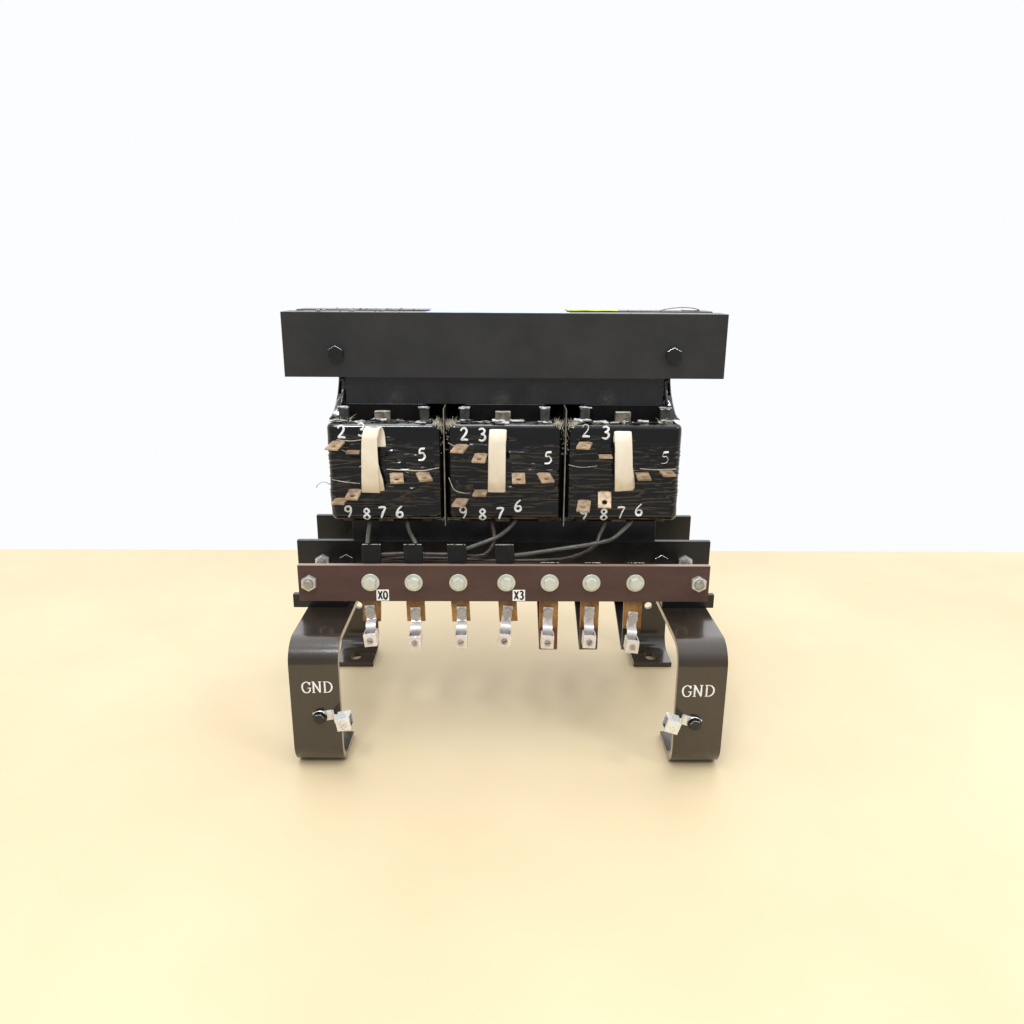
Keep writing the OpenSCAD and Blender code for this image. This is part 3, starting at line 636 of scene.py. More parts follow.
def studio():
    """A table top, a white room that is dimmer on the viewer's side, and three soft lamps."""
    scene = bpy.context.scene
    scene.view_settings.view_transform = "Standard"
    scene.view_settings.exposure = 0.0
    world = bpy.data.worlds.new("studio")
    world.use_nodes = True
    room = Nodes(world.node_tree)
    way = room.node("SeparateXYZ", Vector=room.node("TexCoord").outputs["Generated"])
    light = room.maths("ADD", room.span(way.outputs["Y"], -0.7, 0.7, 0.36, 1.45),
                       room.span(way.outputs["Z"], 0.25, 0.85, 0.0, 0.8))
    seen = room.node("Mix")  # the backdrop itself is plain white
    for source, index in ((room.node("LightPath").outputs["Is Camera Ray"], 0), (light, 2), (1.0, 3)):
        room.plug(source, seen.inputs[index])
    back = world.node_tree.nodes["Background"]
    room.plug(seen.outputs[0], back.inputs["Strength"])
    back.inputs["Color"].default_value = ROOM_COLOUR
    scene.world = world
    mesh = bpy.data.meshes.new("floor")
    mesh.from_pydata([(-FLOOR_SIDE, FLOOR_FRONT, 0), (FLOOR_SIDE, FLOOR_FRONT, 0),
                      (FLOOR_SIDE, FLOOR_BACK, 0), (-FLOOR_SIDE, FLOOR_BACK, 0)], [], [(0, 1, 2, 3)])
    f = Finish("pale_floor")
    f.tones("c9b590", "d2c09c", 2.5, 3)
    f.rough(0.5, 0.6, 30, 3)
    mesh.materials.append(f.material)
    new_object("floor", mesh)
    for name, place, size, power in LAMPS:
        light = bpy.data.lights.new(name, "AREA")
        light.size = size
        light.energy = power
        light.color = LAMP_COLOUR
        lamp = new_object(name, light)
        lamp.location = place
        lamp.rotation_mode = "QUATERNION"
        lamp.rotation_quaternion = (Vector((0, 0, 0.25)) - Vector(place)).to_track_quat("-Z", "Y")


camera()
studio()

# ---- coils
OUTER_R = 8.0  # the winding's corner radius
DUCT_X, DUCT_Y, DUCT_R = 51.0, 60.0, 6.0  # half width, half depth, corner radius of the duct inside
EDGE_R = 6.5  # rounding of the top and bottom edges
SKIN = 1.3  # mean depth of the skin below the CAD winding's faces
TAPE, TURN = 4.6, 1.28  # width of a turn of tape, pitch of the wire under it
CORNER_STEPS, SIDE_STEPS, FRONT_STEPS, LEVELS = 14, 46, 84, 128
# raised leaves of tape over the tap straps: from, to, level, half height, rise
LEAVES = (
    (-1, 26, 302.5, 4.6, 1.2), (3, 40, 290.8, 3.5, 1.2), (0, 11, 318.5, 1.6, 0.8),
    (-52, -24, 320.5, 2.2, 0.9), (-40, -8, 311, 2.6, 0.9), (-58, 0, 298, 2.5, 0.7),
    (2, 59, 285.6, 1.5, 1.2), (-58, -12, 272, 2.2, 0.8), (-20, 44, 266, 2.4, 0.8),
    (8, 50, 274, 2.0, 0.7), (16, 48, 257, 2.0, 0.7), (-58, 14, 250.5, 2.0, 0.8),
    (-6, 34, 247.5, 1.3, 0.6))
COILS = (("left", -LIMB, 11), ("centre", 0.0, 23), ("right", LIMB, 37))


def coil_surface(seed, along, z, front_x):
    """How far the winding's skin stands out from the CAD winding, between -SKIN - 0.7 and 0.35 mm.

    front_x is the place across the coil's front, or None on the other sides.
    """
    height = z - COIL_Z0 + 0.8 * drift(along * 0.012, z * 0.03, seed * 1.7)
    band = height / TAPE
    step = band - math.floor(band)
    middle = clip((z - COIL_Z0 - 16) / 8) * clip((COIL_Z1 - 15 - z) / 8)
    wrap = 0.20 * (1 - step) ** 1.5 + 0.12 * drift(math.floor(band) * 3.1, seed, along * 0.01)
    rib = 0.035 * cos(2 * pi * height / TURN)
    swell = 0.5 * drift(along * 0.024, z * 0.06, seed * 3.1)
    ripple = 0.15 * drift(along * 0.07, z * 0.42, seed * 5.1)
    crease = abs(drift(along * 0.018, z * 0.17, seed * 9.7))
    out = -SKIN + wrap * (0.35 + 0.65 * middle) + rib + swell + ripple * (0.3 + 0.7 * middle)
    out += middle * 0.65 * max(0.0, 0.16 - crease) / 0.16
    if front_x is not None:
        for index, (x0, x1, level, half, rise) in enumerate(LEAVES):
            shift = 3.0 * drift(index * 2.7, seed * 1.9, 0.5)
            t = (front_x - x0 - shift) / (x1 - x0)
            if not 0 <= t <= 1:
                continue
            slope = 0.9 * drift(index * 1.3, seed * 0.7, t * 1.5)
            width = half * (0.7 + 0.3 * min(1.0, t / 0.3)) * (1 - t ** 3) + 0.25
            d = abs(z - level - slope) / width
            start = min(1.0, t / 0.22)
            if d < 1:
                out += rise * (1 - d ** 4) * (1 - 0.3 * t) * start * start * (3 - 2 * start)
    return min(0.35, max(out, -SKIN - 0.7))


def loop_points():
    """Matching points of the coil's outer and inner outline, the way out, and the distance along it."""

    def corner(sx, sy, degrees):
        a = radians(degrees)
        way = Vector((cos(a), sin(a), 0))
        outer, inner = (Vector((sx * (x - r), sy * (y - r), 0)) + way * r
                        for x, y, r in ((COIL_W / 2, COIL_D / 2, OUTER_R), (DUCT_X, DUCT_Y, DUCT_R)))
        return outer, inner, way

    rows = []
    corners = [(1, -1, -90), (1, 1, 0), (-1, 1, 90), (-1, -1, 180)]
    for index, (sx, sy, start) in enumerate(corners):
        rows += [corner(sx, sy, start + 90 * k / CORNER_STEPS) for k in range(CORNER_STEPS)]
        nx, ny, _ = corners[(index + 1) % 4]
        o0, i0, way = corner(sx, sy, start + 90)
        o1, i1, way = corner(nx, ny, start + 90)
        count = FRONT_STEPS if index == 3 else SIDE_STEPS
        rows += [(o0.lerp(o1, k / count), i0.lerp(i1, k / count), way) for k in range(count)]
    lengths = [0.0] + [(after[0] - before[0]).length for before, after in zip(rows, rows[1:])]
    return [(*row, along) for row, along in zip(rows, accumulate(lengths))]


LOOP = loop_points()
FRONT_START = next(s for o, i, way, s in LOOP if way.y < -0.999)


def roundover(z):
    """How far the coil's rounded top and bottom edges draw in."""
    depth = min(z - COIL_Z0, COIL_Z1 - z)
    if depth >= EDGE_R:
        return 0.0
    return 0.9 * (EDGE_R - math.sqrt(max(0.0, EDGE_R ** 2 - (EDGE_R - depth) ** 2)))


def front_y(seed, x, z):
    """Y of the skin on a coil's front, at x from the coil's middle."""
    along = FRONT_START + (x + (COIL_W / 2 - OUTER_R))
    return -(COIL_FACE + (coil_surface(seed, along, z, x) - roundover(z)))


def coil(name, middle, seed):
    """One winding: down the duct side, under it, up the outside and over the top."""
    rows = [[at(middle + i.x, i.y, COIL_Z0 + 1.2) for o, i, way, s in LOOP]]
    for u, rise in ((0.15, 0.2), (0.28, 0.0)):
        rows.append([at(middle + i.lerp(o, u).x, i.lerp(o, u).y,
                        COIL_Z0 + rise + 0.5 * drift(s * 0.05, u * 5, seed)) for o, i, way, s in LOOP])
    for k in range(LEVELS + 1):
        z = COIL_Z0 + k / LEVELS * (COIL_Z1 - COIL_Z0)
        row = []
        for o, i, way, s in LOOP:
            d = coil_surface(seed, s, z, o.x if way.y < -0.8 else None)
            if middle == 0 or way.x * middle < 0:  # the sides that face a barrier stand closer to it
                d = min(d + 2.9 * abs(way.x) ** 3, 1.6)
            p = o + way * (d - roundover(z))
            row.append(at(middle + p.x, p.y, z))
        rows.append(row)
    for u in (0.7, 0.78, 0.86, 0.93, 1.0):
        rows.append([at(middle + o.lerp(i, u).x, o.lerp(i, u).y, COIL_Z1 - 0.9
                        + 1.3 * drift(s * 0.06, u * 9, seed) + 0.6 * drift(s * 0.4, u * 20, seed))
                     for o, i, way, s in LOOP])
    rows.append([at(middle + i.x, i.y, COIL_Z1 - 14) for o, i, way, s in LOOP])
    shape = Build()
    shape.grid(rows, close_row=True, close_column=True)
    shape.make("coil_" + name, VARNISH, sharp=60, replaces=("winding_" + name,),
               slot="varnished_winding")


for name, coil_x, seed in COILS:
    coil(name, coil_x, seed)

# ---- core, clamps, feet
for names, finish, ease, kind in (
        (("upper_yoke", "lower_yoke", "core_limbs"), CORE, 0.5, "core_steel"),
        (("upper_clamp_front", "upper_clamp_rear"), CLAMP, 0.7, "black_clamp"),
        (("lower_clamp_front", "lower_clamp_rear"), LOWER, 0.7, "black_clamp"),
        (("foot_front_left", "foot_front_right", "foot_rear_left", "foot_rear_right"),
         FOOT, 0.9, "black_foot"),
        (("tie_bolts", "tie_nuts", "foot_bolts", "foot_nuts", "ground_washers"),
         FASTENER, 1.0, "black_fastener")):
    for node in names:
        eased(node, finish, ease, kind)
eased("limb_tubes", TUBE, 0.3, "tube_board")
eased("inner_windings", VARNISH, 0.8, "varnished_winding")
eased("corner_sticks", CRUST, 0.8, "duct_pack")
eased("duct_packs", PAPER, 0.8, "duct_pack")
eased("phase_barriers", BARRIER, 0.3, "barrier_sheet")


# the end sheet's outline from the top down: Z, half length, half depth
SKIRT = ((379, 171.6, 45.6), (374, 171.8, 45.8), (368, 172.4, 46.4), (361, 173.2, 48.4),
         (354, 174.4, 51.5), (348, 175.6, 55), (343, 176.8, 58), (339.5, 178.8, 59.5),
         (336.5, 181.2, 60.5))


def end_skirt(side):
    """Varnished sheet round the end of the upper yoke, flaring out over the coil's outer corner."""
    draw = random.Random(5 + side).uniform
    rows = []
    for k, (z, x, y) in enumerate(SKIRT):
        flare = k / (len(SKIRT) - 1)
        half = [(165.9 + 1.2 * flare, 43.6 + 9 * flare), (168.6 + 1.5 * flare, y - 0.4),
                (x - 1.0, y - 0.3), (x, y - 2.2)]
        half += [(x + 0.5 * sin(j * 1.9 + k), y * (1 - (j + 1) / 7)) for j in range(6)]
        outline = [(px, -py) for px, py in half] + [(x, 0.0)] + [(px, py) for px, py in reversed(half)]
        ragged = float(flare == 1)
        rows.append([at(side * (px + 0.25 * drift(j * 0.7, k * 0.8, side * 2.0)), py,
                        z + ragged * draw(-0.5, 1.6)) for j, (px, py) in enumerate(outline)])
    shape = Build()
    shape.grid(rows)
    across = len(rows[0])
    slit = (across + 1, 2 * across + 1)
    shape.faces = [face for face in shape.faces if face[0] not in slit]
    thicken(shape.make("end_skirt_left" if side < 0 else "end_skirt_right", SHEET, sharp=50,
                       replaces=("end_sheets",), slot="barrier_sheet"), 0.8, 0.0)


def yoke_film(face):
    """Dark film over the top of the yoke's front or back, its lower edge slightly wavy."""
    length = (yoke_high.x - yoke_low.x) / MM - 2
    rows = []
    for z, stand in ((382, 0.0), (378, 0.2), (373, 0.2), (370.3, 0.12)):
        row = []
        for x in steps(-length / 2, length, 90):
            dip = drift(x * 0.03, 3.3, face) * 1.1 + 0.4 * drift(x * 0.2, 1.0, face)
            row.append(at(x, face * (CORE_FACE + stand + 0.05), z + (dip if z < 375 else 0)))
        rows.append(row)
    sheet("yoke_film_front" if face < 0 else "yoke_film_rear", rows, SHEET, slot="barrier_sheet")


def gap_packing():
    """Dark packing across the core's windows, above the coils and between them."""
    shape = Build()
    for side in (-1, 1):
        for y in (-20, 24):
            shape.grid([[at(side * LIMB / 2 + x + 0.4 * drift(x * 0.1, z * 0.1, y), y + dy, z)
                         for x, dy in ((-19, 0), (-9, 1.2), (-1, 0.3), (1, -0.6), (9, 0.9), (19, 0))]
                        for z in (COIL_Z1 - 12, COIL_Z1, COIL_Z1 + 8, COIL_Z1 + 15.5)])
    thicken(shape.make("gap_packing", TUBE, slot="tube_board"), 0.8)


def dome(shape, x, y, r, h, squash):
    """A drop of varnish standing on the clamp tops."""
    rows = []
    for a in (pi / 2 * level / 4.3 for level in range(5)):
        rows.append([at(x + r * squash * cos(a) * c, y + r * cos(a) * s,
                        CLAMP_TOP - 0.05 + h * sin(a)) for c, s in ring(12)])
    shape.rings(rows, floor=True, roof=True)


def clamp_top_pieces():
    """A blank film plate across both flanges, a lime strip, a loop of wire and drops of varnish."""
    rows = []
    for y in steps(-CLAMP_REACH + 0.6, 2 * CLAMP_REACH - 1.2, 24):
        sag = -0.9 * math.exp(-(y / 14) ** 2)
        rows.append([at(x, y, CLAMP_TOP + 0.35 + sag + 0.12 * drift(x * 0.05, y * 0.08, 9.0))
                     for x in steps(-81, 147, 30)])
    thicken(sheet("blank_film_plate", rows, SILVER, slot="marker"), 0.4)
    rows = []
    for k, y in enumerate(steps(15, 10, 7)):
        rows.append([at(x, y + 0.5 * sin(x * 0.05), CLAMP_TOP + 0.5 + 0.5 * sin(k / 7 * pi)
                        + 0.25 * drift(x * 0.1, y * 0.3, 4.0))
                     for x in steps(67, 56, 20)])
    thicken(sheet("lime_strip", rows, LIME, slot="marker"), 0.5)
    shape = Build()
    shape.tube(spline([at(x, y, CLAMP_TOP + up) for x, y, up in (
        (169, 19, 0.4), (176, 15, 2.6), (190, 13, 4.2), (203, 15, 3.6), (212, 20, 1.6), (208, 27, 0.5),
        (196, 30, 0.5))], 6), 0.45 * MM, 6)
    shape.make("wire_loop", NEUTRAL, slot="sleeved_lead")
    rng = random.Random(12)
    draw = rng.uniform
    shape = Build()
    for index in range(46):
        left = index < 34
        x = draw(-208, -90) if left else draw(90, 214)
        y = rng.choice((-1, 1)) * draw(16, 45)
        r = draw(0.7, 2.6) if left else draw(0.5, 1.3)
        dome(shape, x, y, r, r * draw(0.5, 0.95), draw(0.8, 1.25))
    shape.make("varnish_drops", BEAD, slot="black_clamp")


for side_sign in (-1, 1):
    end_skirt(side_sign)
    yoke_film(side_sign)
gap_packing()
clamp_top_pieces()

# ---- board and terminals
GROUND_EDGE = at(0, 0, 90).z
RISER_EDGES = (at(67, 0, 0).x, at(112, 0, 0).x)


def is_ground(middle, normal, part):
    return int(part.z < GROUND_EDGE)


def is_inside(middle, normal, part):
    """Inner walls of a collar face its middle; they are 2 and take a painted shade, the other walls 0
    or 1 as above.
    """
    inward = normal.dot(part - middle) > 0.5 * MM
    return 2 if inward else is_ground(middle, normal, part)


def which_riser(middle, normal, part):
    return (part.x > RISER_EDGES[0]) + (part.x > RISER_EDGES[1])


eased("terminal_board", BOARD, 0.4, "board_laminate")
eased("board_studs", THREADED, 0.6, "zinc_stud")
eased("board_nuts", ZINC, 0.9, "zinc_stud")
eased("terminal_bars", BAR, 0.4, "copper_bar")
eased("riser_bars", RISERS[0], 0.6, "sleeved_lead", others=RISERS[1:], choose=which_riser)
eased("terminal_bolts", HEADS, 1.0, "plated_terminal", segments=3)
eased("terminal_washers", PLATED, 0.35, "plated_terminal")
eased("terminal_nuts", PLATED, 0.6, "plated_terminal")
eased("lug_strips", TIN, 0.3, "tinned_lug", others=(SILVERED,), choose=is_ground)
eased("lug_collars", TIN, 0.45, "tinned_lug", segments=3, others=(SILVERED, COLLAR_SHADE), choose=is_inside)
eased("lug_bolts", BOLT, 1.6, "lug_hardware", segments=4, others=(FASTENER,), choose=is_ground)
eased("lug_nuts", STEEL, 0.5, "lug_hardware", others=(FASTENER,), choose=is_ground)
for number in range(1, 10):
    eased("lug_screw_%d" % number, SILVERED if number > 7 else SCREW, 0.35, "lug_hardware",
          body="screw_%d" % number)
for side in ("left", "centre", "right"):
    eased("tap_tabs_" + side, COPPER, 0.3, "tap_copper")
eased("coil_leads", LEAD, 0, "sleeved_lead")
eased("neutral_leads", NEUTRAL, 0, "sleeved_lead")
plate_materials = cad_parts["marker_plates"].data.materials
plate_materials.clear()
plate_materials.append(LABEL)

# top middle of each terminal bar, how far it leans, and whether it is sleeved above the board
BARS = ((-136.5, 2, True), (-92.5, -1, True), (-47, -3, True), (2, -3.2, True), (46.3, 0, False),
        (89, 0, False), (134, 0, False))


def bar_sleeves():
    """Slate sleeving on the bars above the board, with a frayed pale top edge."""
    low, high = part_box("terminal_bars")
    middle_y = -BOARD_BACK + (high.y - low.y) / 2 / MM
    half_w, half_t = 9.85, 2.3
    pivot = BOARD_TOP - 18
    sleeve = Build()
    fray = Build()
    rng = random.Random(77)
    draw = rng.uniform
    for index, (x, lean, tall) in enumerate(BARS):
        top = high.z / MM + 0.6 if tall else BOARD_TOP + 1.4
        swing = math.tan(radians(lean))
        rows = []
        for z in (BOARD_TOP - 9, BOARD_TOP - 2, (BOARD_TOP + top) / 2, top - 0.5, top):
            rows.append([at(x + (z - pivot) * swing + px,
                            middle_y + py + 0.15 * drift(px * 0.3 + index * 5, z * 0.2, py),
                            z + (0.25 * drift(px, index * 3.0, py) if z == top else 0))
                         for px, py in oblong(36, half_w, half_t, 0.22, 0.6)])
        sleeve.rings(rows, roof=True)
        for px in steps(-8.6, 17.2, 14):
            px += draw(-0.3, 0.3)
            side = Vector((draw(0.5, 1.25) / 2 * MM, 0, 0))
            base = at(x + (top - pivot) * swing + px, middle_y - half_t + 0.35, top - 0.1)
            if rng.random() < 0.82:
                tip = Vector((draw(-0.25, 0.25), draw(-0.4, 0.3), draw(0.1, 0.5))) * MM
                fray.tube([base - side, base + tip, base + side], 0.28 * MM, 5)
    sleeve.make("bar_sleeves", SLATE, sharp=60, slot="sleeved_lead")
    fray.make("bar_sleeve_edges", FIBRE, slot="sleeved_lead")


bar_sleeves()

# ---- straps
# name, path of (X, distance out from the coil's face, Z), half width at the start and beyond the middle
STRAPS = (
    ("strap_left",
     ((-138, 6.5, 264), (-137.7, 9.5, 276), (-137.1, 11.3, 295), (-136.8, 11.8, 312),
      (-136, 11.4, 323), (-133.6, 8.2, 329.8), (-131.2, 4.4, 328.8), (-129.8, 2.4, 322),
      (-129.3, 1.8, 311)), 9.5, 7.8),
    ("strap_left_ply",
     ((-137.2, 7.6, 296), (-135.8, 7.2, 284), (-133.8, 5.8, 274), (-133.2, 4.2, 265)), 7.8, 8.9),
    ("strap_centre",
     ((-8.3, 6.5, 265), (-8.2, 9.6, 277), (-8, 11.2, 295), (-7.8, 11.6, 312), (-7.4, 10.8, 323),
      (-7, 7.4, 329), (-6.9, 3.8, 326.5), (-6.9, 2.0, 318)), 9.1, 8.7),
    ("strap_right",
     ((123.6, 6.5, 267), (122.6, 9.6, 278), (121.4, 11.2, 295), (120.5, 11.6, 311),
      (119.8, 10.8, 321.5), (119.6, 7.4, 327.6), (119.8, 3.8, 325.2), (120, 2.0, 317)), 9.6, 8.8),
    ("strap_right_ply",
     ((121.9, 7.4, 300), (123, 7.2, 288), (124.8, 5.8, 277), (125.6, 4.4, 268)), 8, 9.2))
STRAP_HALF_THICK = 1.25

for strap_name, strap_path, first_half, full_half in STRAPS:
    strap_line = spline([(x, -COIL_FACE - out, z) for x, out, z in strap_path], 7)
    last = len(strap_line) - 1
    rows = []
    for i, p in enumerate(strap_line):
        t = (strap_line[min(i + 1, last)] - strap_line[max(i - 1, 0)]).normalized()
        across = (Vector((1, 0, 0)) - t.x * t).normalized()
        half_width = first_half + (full_half - first_half) * min(1.0, i / last / 0.45)
        row = []
        for u, v in oblong(28, half_width, STRAP_HALF_THICK, 0.35, 0.75):
            q = p + across * u + t.cross(across) * (v + 0.22 * drift(u * 0.12, i * 0.25, p.x))
            row.append(at(q.x, q.y, q.z))
        rows.append(row)
    shape = Build()
    shape.rings(rows, floor=True, roof=True)
    jumper = () if strap_name.endswith("_ply") else (strap_name.replace("strap", "jumper"),)
    shape.make(strap_name, STRAP, sharp=70, replaces=jumper, slot="jumper_strap")

# ---- painted marks
# strokes through points in hundredths of the glyph's height
GLYPHS = {
    "0": [[(30, 100), (5, 75), (5, 25), (30, 0), (55, 25), (55, 75), (30, 100)]],
    "2": [[(2, 78), (14, 96), (38, 98), (50, 78), (40, 50), (16, 20), (2, 2)], [(2, 2), (30, 6),
         (62, 2)]],
    "3": [[(3, 92), (30, 100), (50, 84), (40, 62), (20, 54)], [(20, 54), (48, 46), (54, 20),
         (32, 0), (2, 8)]],
    "5": [[(58, 99), (16, 95)], [(16, 95), (13, 60), (40, 62), (56, 36), (40, 6), (2, 2)]],
    "6": [[(50, 100), (20, 72), (4, 30), (20, 1), (50, 10), (50, 40), (26, 46), (7, 30)]],
    "7": [[(0, 94), (30, 99), (60, 95)], [(60, 95), (36, 50), (20, 0)]],
    "8": [[(30, 52), (8, 76), (28, 98), (50, 78), (30, 52), (5, 24), (28, 0), (55, 24), (30, 52)]],
    "9": [[(52, 72), (36, 52), (10, 60), (8, 86), (32, 99), (52, 82), (50, 40), (30, 0)]],
    "X": [[(0, 100), (55, 0)], [(55, 100), (0, 0)]],
    "G": [[(66, 80), (42, 100), (10, 82), (2, 45), (18, 6), (50, 0), (68, 20), (68, 42)], [(46, 43),
         (80, 43)], [(66, 72), (68, 98)]],
    "N": [[(6, 0), (6, 100)], [(6, 100), (62, 0)], [(62, 0), (62, 100)], [(-8, 100), (14, 100)],
         [(48, 100), (76, 100)], [(-8, 0), (20, 0)]],
    "D": [[(8, 0), (8, 100)], [(8, 100), (42, 96), (66, 70), (66, 32), (42, 4), (8, 0)], [(-6, 100),
         (20, 100)], [(-6, 0), (20, 0)]]}


def write(shape, glyph, x, z, height, radius, skin, thin=1.0, squeeze=1.0):
    """Brush strokes of one glyph with its lower left corner at x, z; skin gives the face's Y there."""
    for stroke in GLYPHS[glyph]:
        flat = spline([(x + px / 100 * squeeze * height, 0, z + pz / 100 * height)
                       for px, pz in stroke], 6)
        path = [at(p.x, skin(p.x, p.z), p.z) for p in flat]
        last = len(path) - 1
        widths = []
        for i in range(last + 1):
            way = path[min(i + 1, last)] - path[max(i - 1, 0)]
            pen = thin + (1 - thin) * abs(way.z) / max(way.length, 1e-9)
            widths.append(radius * pen * (0.75 + 0.25 * sin(pi * i / last)) * MM)
        shape.tube(path, widths, 8, 0.22, up=(0.31, 0, 1))


# X from the coil's middle and Z of the middle of each digit
DIGITS = {
    "left": ((-42.6, 325.6), (-22.2, 327.7), (38.6, 302.5), (-39.9, 240.7), (-20.6, 238),
             (-4.3, 239.7), (14, 240.9)),
    "centre": ((-41.7, 323.6), (-23.3, 323.1), (44.5, 299.4), (-43.6, 240), (-23.2, 237.9),
               (-4.8, 239.1), (14.1, 247.9)),
    "right": ((-41.4, 327.7), (-20.8, 325.8), (41.2, 299.9), (-41.1, 239.3), (-19.5, 238.3),
              (-1.6, 240.6), (17.2, 243.9))}
for name, coil_x, seed in COILS:
    digits = Build()

    def coil_skin(px, pz):
        """Just in front of the highest skin under a stroke."""
        return min(front_y(seed, px - coil_x, pz + step) for step in (-1.6, -0.8, 0, 0.8)) - 0.3

    for digit, (dx, mz) in zip("2359876", DIGITS[name]):
        write(digits, digit, coil_x + dx - 3.6, mz - 6.2, 12.4, 1.15, coil_skin)
    digits.make("tap_digits_" + name, PAINT, slot="marker")


def foot_skin(px, pz):
    return -FOOT_FACES[int(px > 0)] - 0.06


marks = Build()
for left, width, low_z, tall in ((-198.2, 30.6, 85.0, 11.6), (175.2, 32.6, 83.2, 12.0)):
    for k, (letter, part) in enumerate(zip("GND", (0.0, 0.345, 0.70))):
        write(marks, letter, left + width * part, low_z + 0.15 * k, tall, 0.84, foot_skin, 0.5, 0.97)
marks.make("ground_marks", PAINT, slot="marker")
plate_low, plate_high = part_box("marker_plates")


def plate_skin(px, pz):
    return (plate_low.y - MID_Y) / MM - 0.03


ink = Build()
for left, second in ((plate_low.x / MM, "0"), (plate_high.x / MM - 12.8, "3")):
    base = plate_low.z / MM + 2.0 - 0.3
    write(ink, "X", left + 2.0, base, 8.8, 0.98, plate_skin, squeeze=0.78)
    write(ink, second, left + 7.3, base, 8.8, 0.98, plate_skin, squeeze=0.72)
ink.make("plate_marks", INK, slot="marker")


# ---- fibres, threads and beads
def wisp(start, way, length, radius):
    """A thin tapering fibre."""
    bend = Vector((draw(-1, 1), draw(-1, 1), draw(-1, 0.4))) * 0.25
    path = []
    for u in (0, 0.25, 0.5, 0.75, 1):
        p = Vector(start) + (Vector(way).normalized() + bend * u) * (length * u)
        path.append(at(p.x, p.y, p.z))
    frayed.tube(path, [radius * (1 - 0.8 * k / 4) * MM for k in range(5)], 4, capped=False)


def flake(x, y, z, wide, deep, lean):
    """A crumpled flake of paper and varnish lying near a coil's top edge."""
    seed = draw(0, 50)
    turn = draw(-0.3, 0.3)
    rows = []
    for v in steps(-0.5, 1, 4):
        row = []
        for u in steps(-0.5, 1, 7):
            rim = 1 + 0.35 * drift(u * 6, v * 6, seed)
            px, py = u * wide * rim, v * deep * rim
            row.append(at(x + px * cos(turn) - py * sin(turn),
                          y + px * sin(turn) + py * cos(turn),
                          z + (0.9 * drift(px * 0.25, py * 0.4, seed) + lean * v * deep)))
        rows.append(row)
    flakes.grid(rows)
    flakes.grid([[p + Vector((0, 0, 0.5 * MM)) for p in reversed(row)] for row in rows])


frayed = Build()
flakes = Build()
rng = random.Random(31)
draw = rng.uniform
for name, coil_x, seed in COILS:
    for face in (-1, 1):
        for dx, wide, count in ((-44, 15, 6), (-5, 14, 6), (41, 12, 6), (14, 22, 2), (-24, 18, 2)):
            for k in range(count):
                flake(coil_x + dx + draw(-5, 5), face * (COIL_FACE - draw(4, 15)),
                      COIL_Z1 + draw(-0.2, 2.6), wide * draw(0.4, 0.95),
                      draw(3, 7), draw(-0.3, 0.3))
        for dx in (-41.5, 41.5):
            for k in range(3):
                flake(coil_x + dx + draw(-2, 2), face * 56 + draw(-2, 2),
                      STICK_TOP + draw(-0.3, 0.6), draw(6, 11), draw(5, 8), 0)
flakes.make("paper_flakes", FLAKE, slot="duct_pack")
rng = random.Random(404)
draw = rng.uniform
for gap_x, hand in ((-LIMB / 2, -1), (-LIMB / 2, 1), (LIMB / 2, -1), (LIMB / 2, 1)):
    for face in (-1, 1):
        for k in range(64 if face < 0 else 34):
            near = rng.random() ** 0.7
            place = (gap_x + hand * (2.6 + 10 * (1 - near)),
                     face * (COIL_FACE - 1.5 - draw(0, 10) * near),
                     COIL_Z1 - draw(0.5, 9) * near)
            way = (-hand * draw(-0.15, 0.5), face * draw(-0.1, 0.7), draw(0.5, 1.5))
            wisp(place, way, draw(3, 9.5), draw(0.16, 0.34))
        for k in range(12):
            place = (gap_x + hand * draw(1.6, 5), face * (COIL_FACE - draw(2, 5)),
                     draw(300, 328))
            wisp(place, (-hand * 0.3, face * 0.8, draw(0.2, 1.2)), draw(3, 7), 0.2)
for side_x in (-LIMB - 42, LIMB + 42):
    for k in range(26):
        place = (side_x + draw(-8, 8), -COIL_FACE + draw(4, 20), COIL_Z1 + draw(0, 3))
        wisp(place, (draw(-1, 1), draw(-1, 0.2), draw(0.2, 1.2)), draw(3, 9), 0.2)
frayed.make("frayed_fibres", FIBRE, slot="duct_pack")

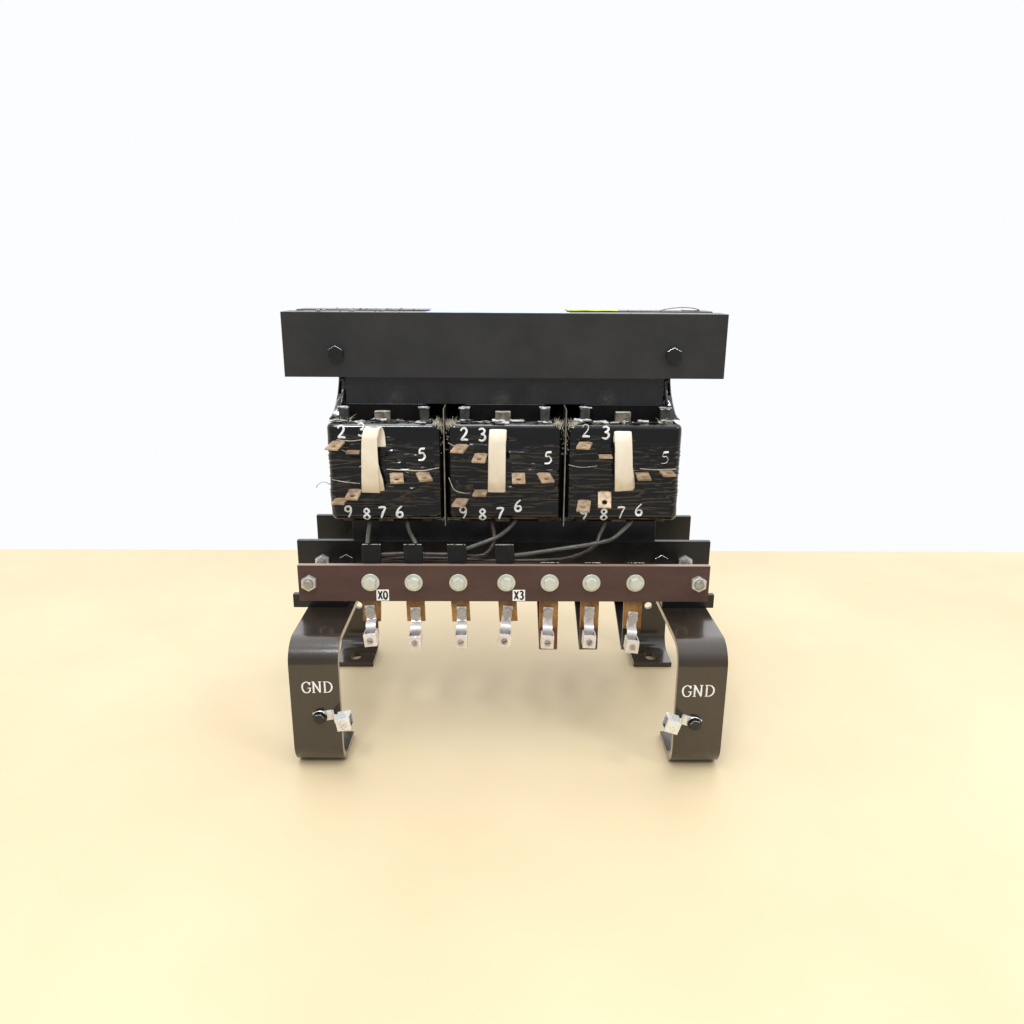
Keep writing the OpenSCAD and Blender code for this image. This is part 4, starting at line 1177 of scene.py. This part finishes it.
# threads laid over the coils' fronts: coil, radius, points as (X, stand-off, Z)
THREADS = ((1, 0.45, ((-58, 0.6, 278), (-53, 1.2, 266), (-46, 0.5, 262), (-36.7, 0.3, 261.1))),
           (1, 0.35, ((-58, 0.6, 314.5), (-50, 1.0, 311), (-40, 0.4, 309.5))),
           (0, 0.5, ((-179, 0.3, 275.2), (-165, 0.5, 273), (-150, 0.3, 271.5))),
           (0, 0.55, ((-122, 0.5, 286.6), (-100, 0.9, 285.8), (-84, 0.6, 285.5), (-68, 1.2, 288.5))),
           (0, 0.45, ((-172, 0.4, 317.3), (-158, 0.7, 316.2), (-146, 0.3, 317.5))),
           (0, 0.4, ((-168, 0.3, 307.2), (-158, 0.6, 303), (-150, 0.3, 303.4))),
           (2, 0.4, ((66, 0.4, 292), (80, 0.7, 289.5), (96, 0.3, 291))),
           (2, 0.5, ((140, 0.5, 288.6), (155, 0.9, 287.4), (178, 0.4, 288))))
threads = Build()
for index, radius, points in THREADS:
    name, coil_x, seed = COILS[index]
    threads.tube([at(p.x, front_y(seed, p.x - coil_x, p.z) - p.y, p.z) for p in spline(points, 8)],
                 radius * MM, 5)
threads.make("binding_threads", THREAD, slot="duct_pack")
curl = Build()
curl.tube(spline([at(*p) for p in (
    (-180.8, -58, 262), (-182.5, -61, 266.5), (-186.5, -63, 270), (-191.2, -63.5, 270.8),
    (-196.4, -63, 267.2), (-197.6, -63, 264.6))], 7), 0.42 * MM, 6)
curl.make("curled_thread", THREAD, slot="duct_pack")

beads = Build()
rng = random.Random(9)
draw = rng.uniform
for name, coil_x, seed in COILS:
    for k in range(34):
        dx = rng.choice((draw(-51, -45), draw(-51, -45), draw(20, 46)))
        z = draw(247, 303)
        r = draw(0.35, 0.95)
        y = front_y(seed, dx, z) + 0.1
        rows = []
        for a in (pi / 2 * level / 3.4 for level in range(4)):
            rows.append([at(coil_x + dx + r * cos(a) * c, y - 0.7 * r * sin(a),
                            z + r * 0.8 * cos(a) * s) for c, s in ring(8)])
        beads.rings(rows, roof=True)
beads.make("varnish_beads", BEAD, slot="varnished_winding")
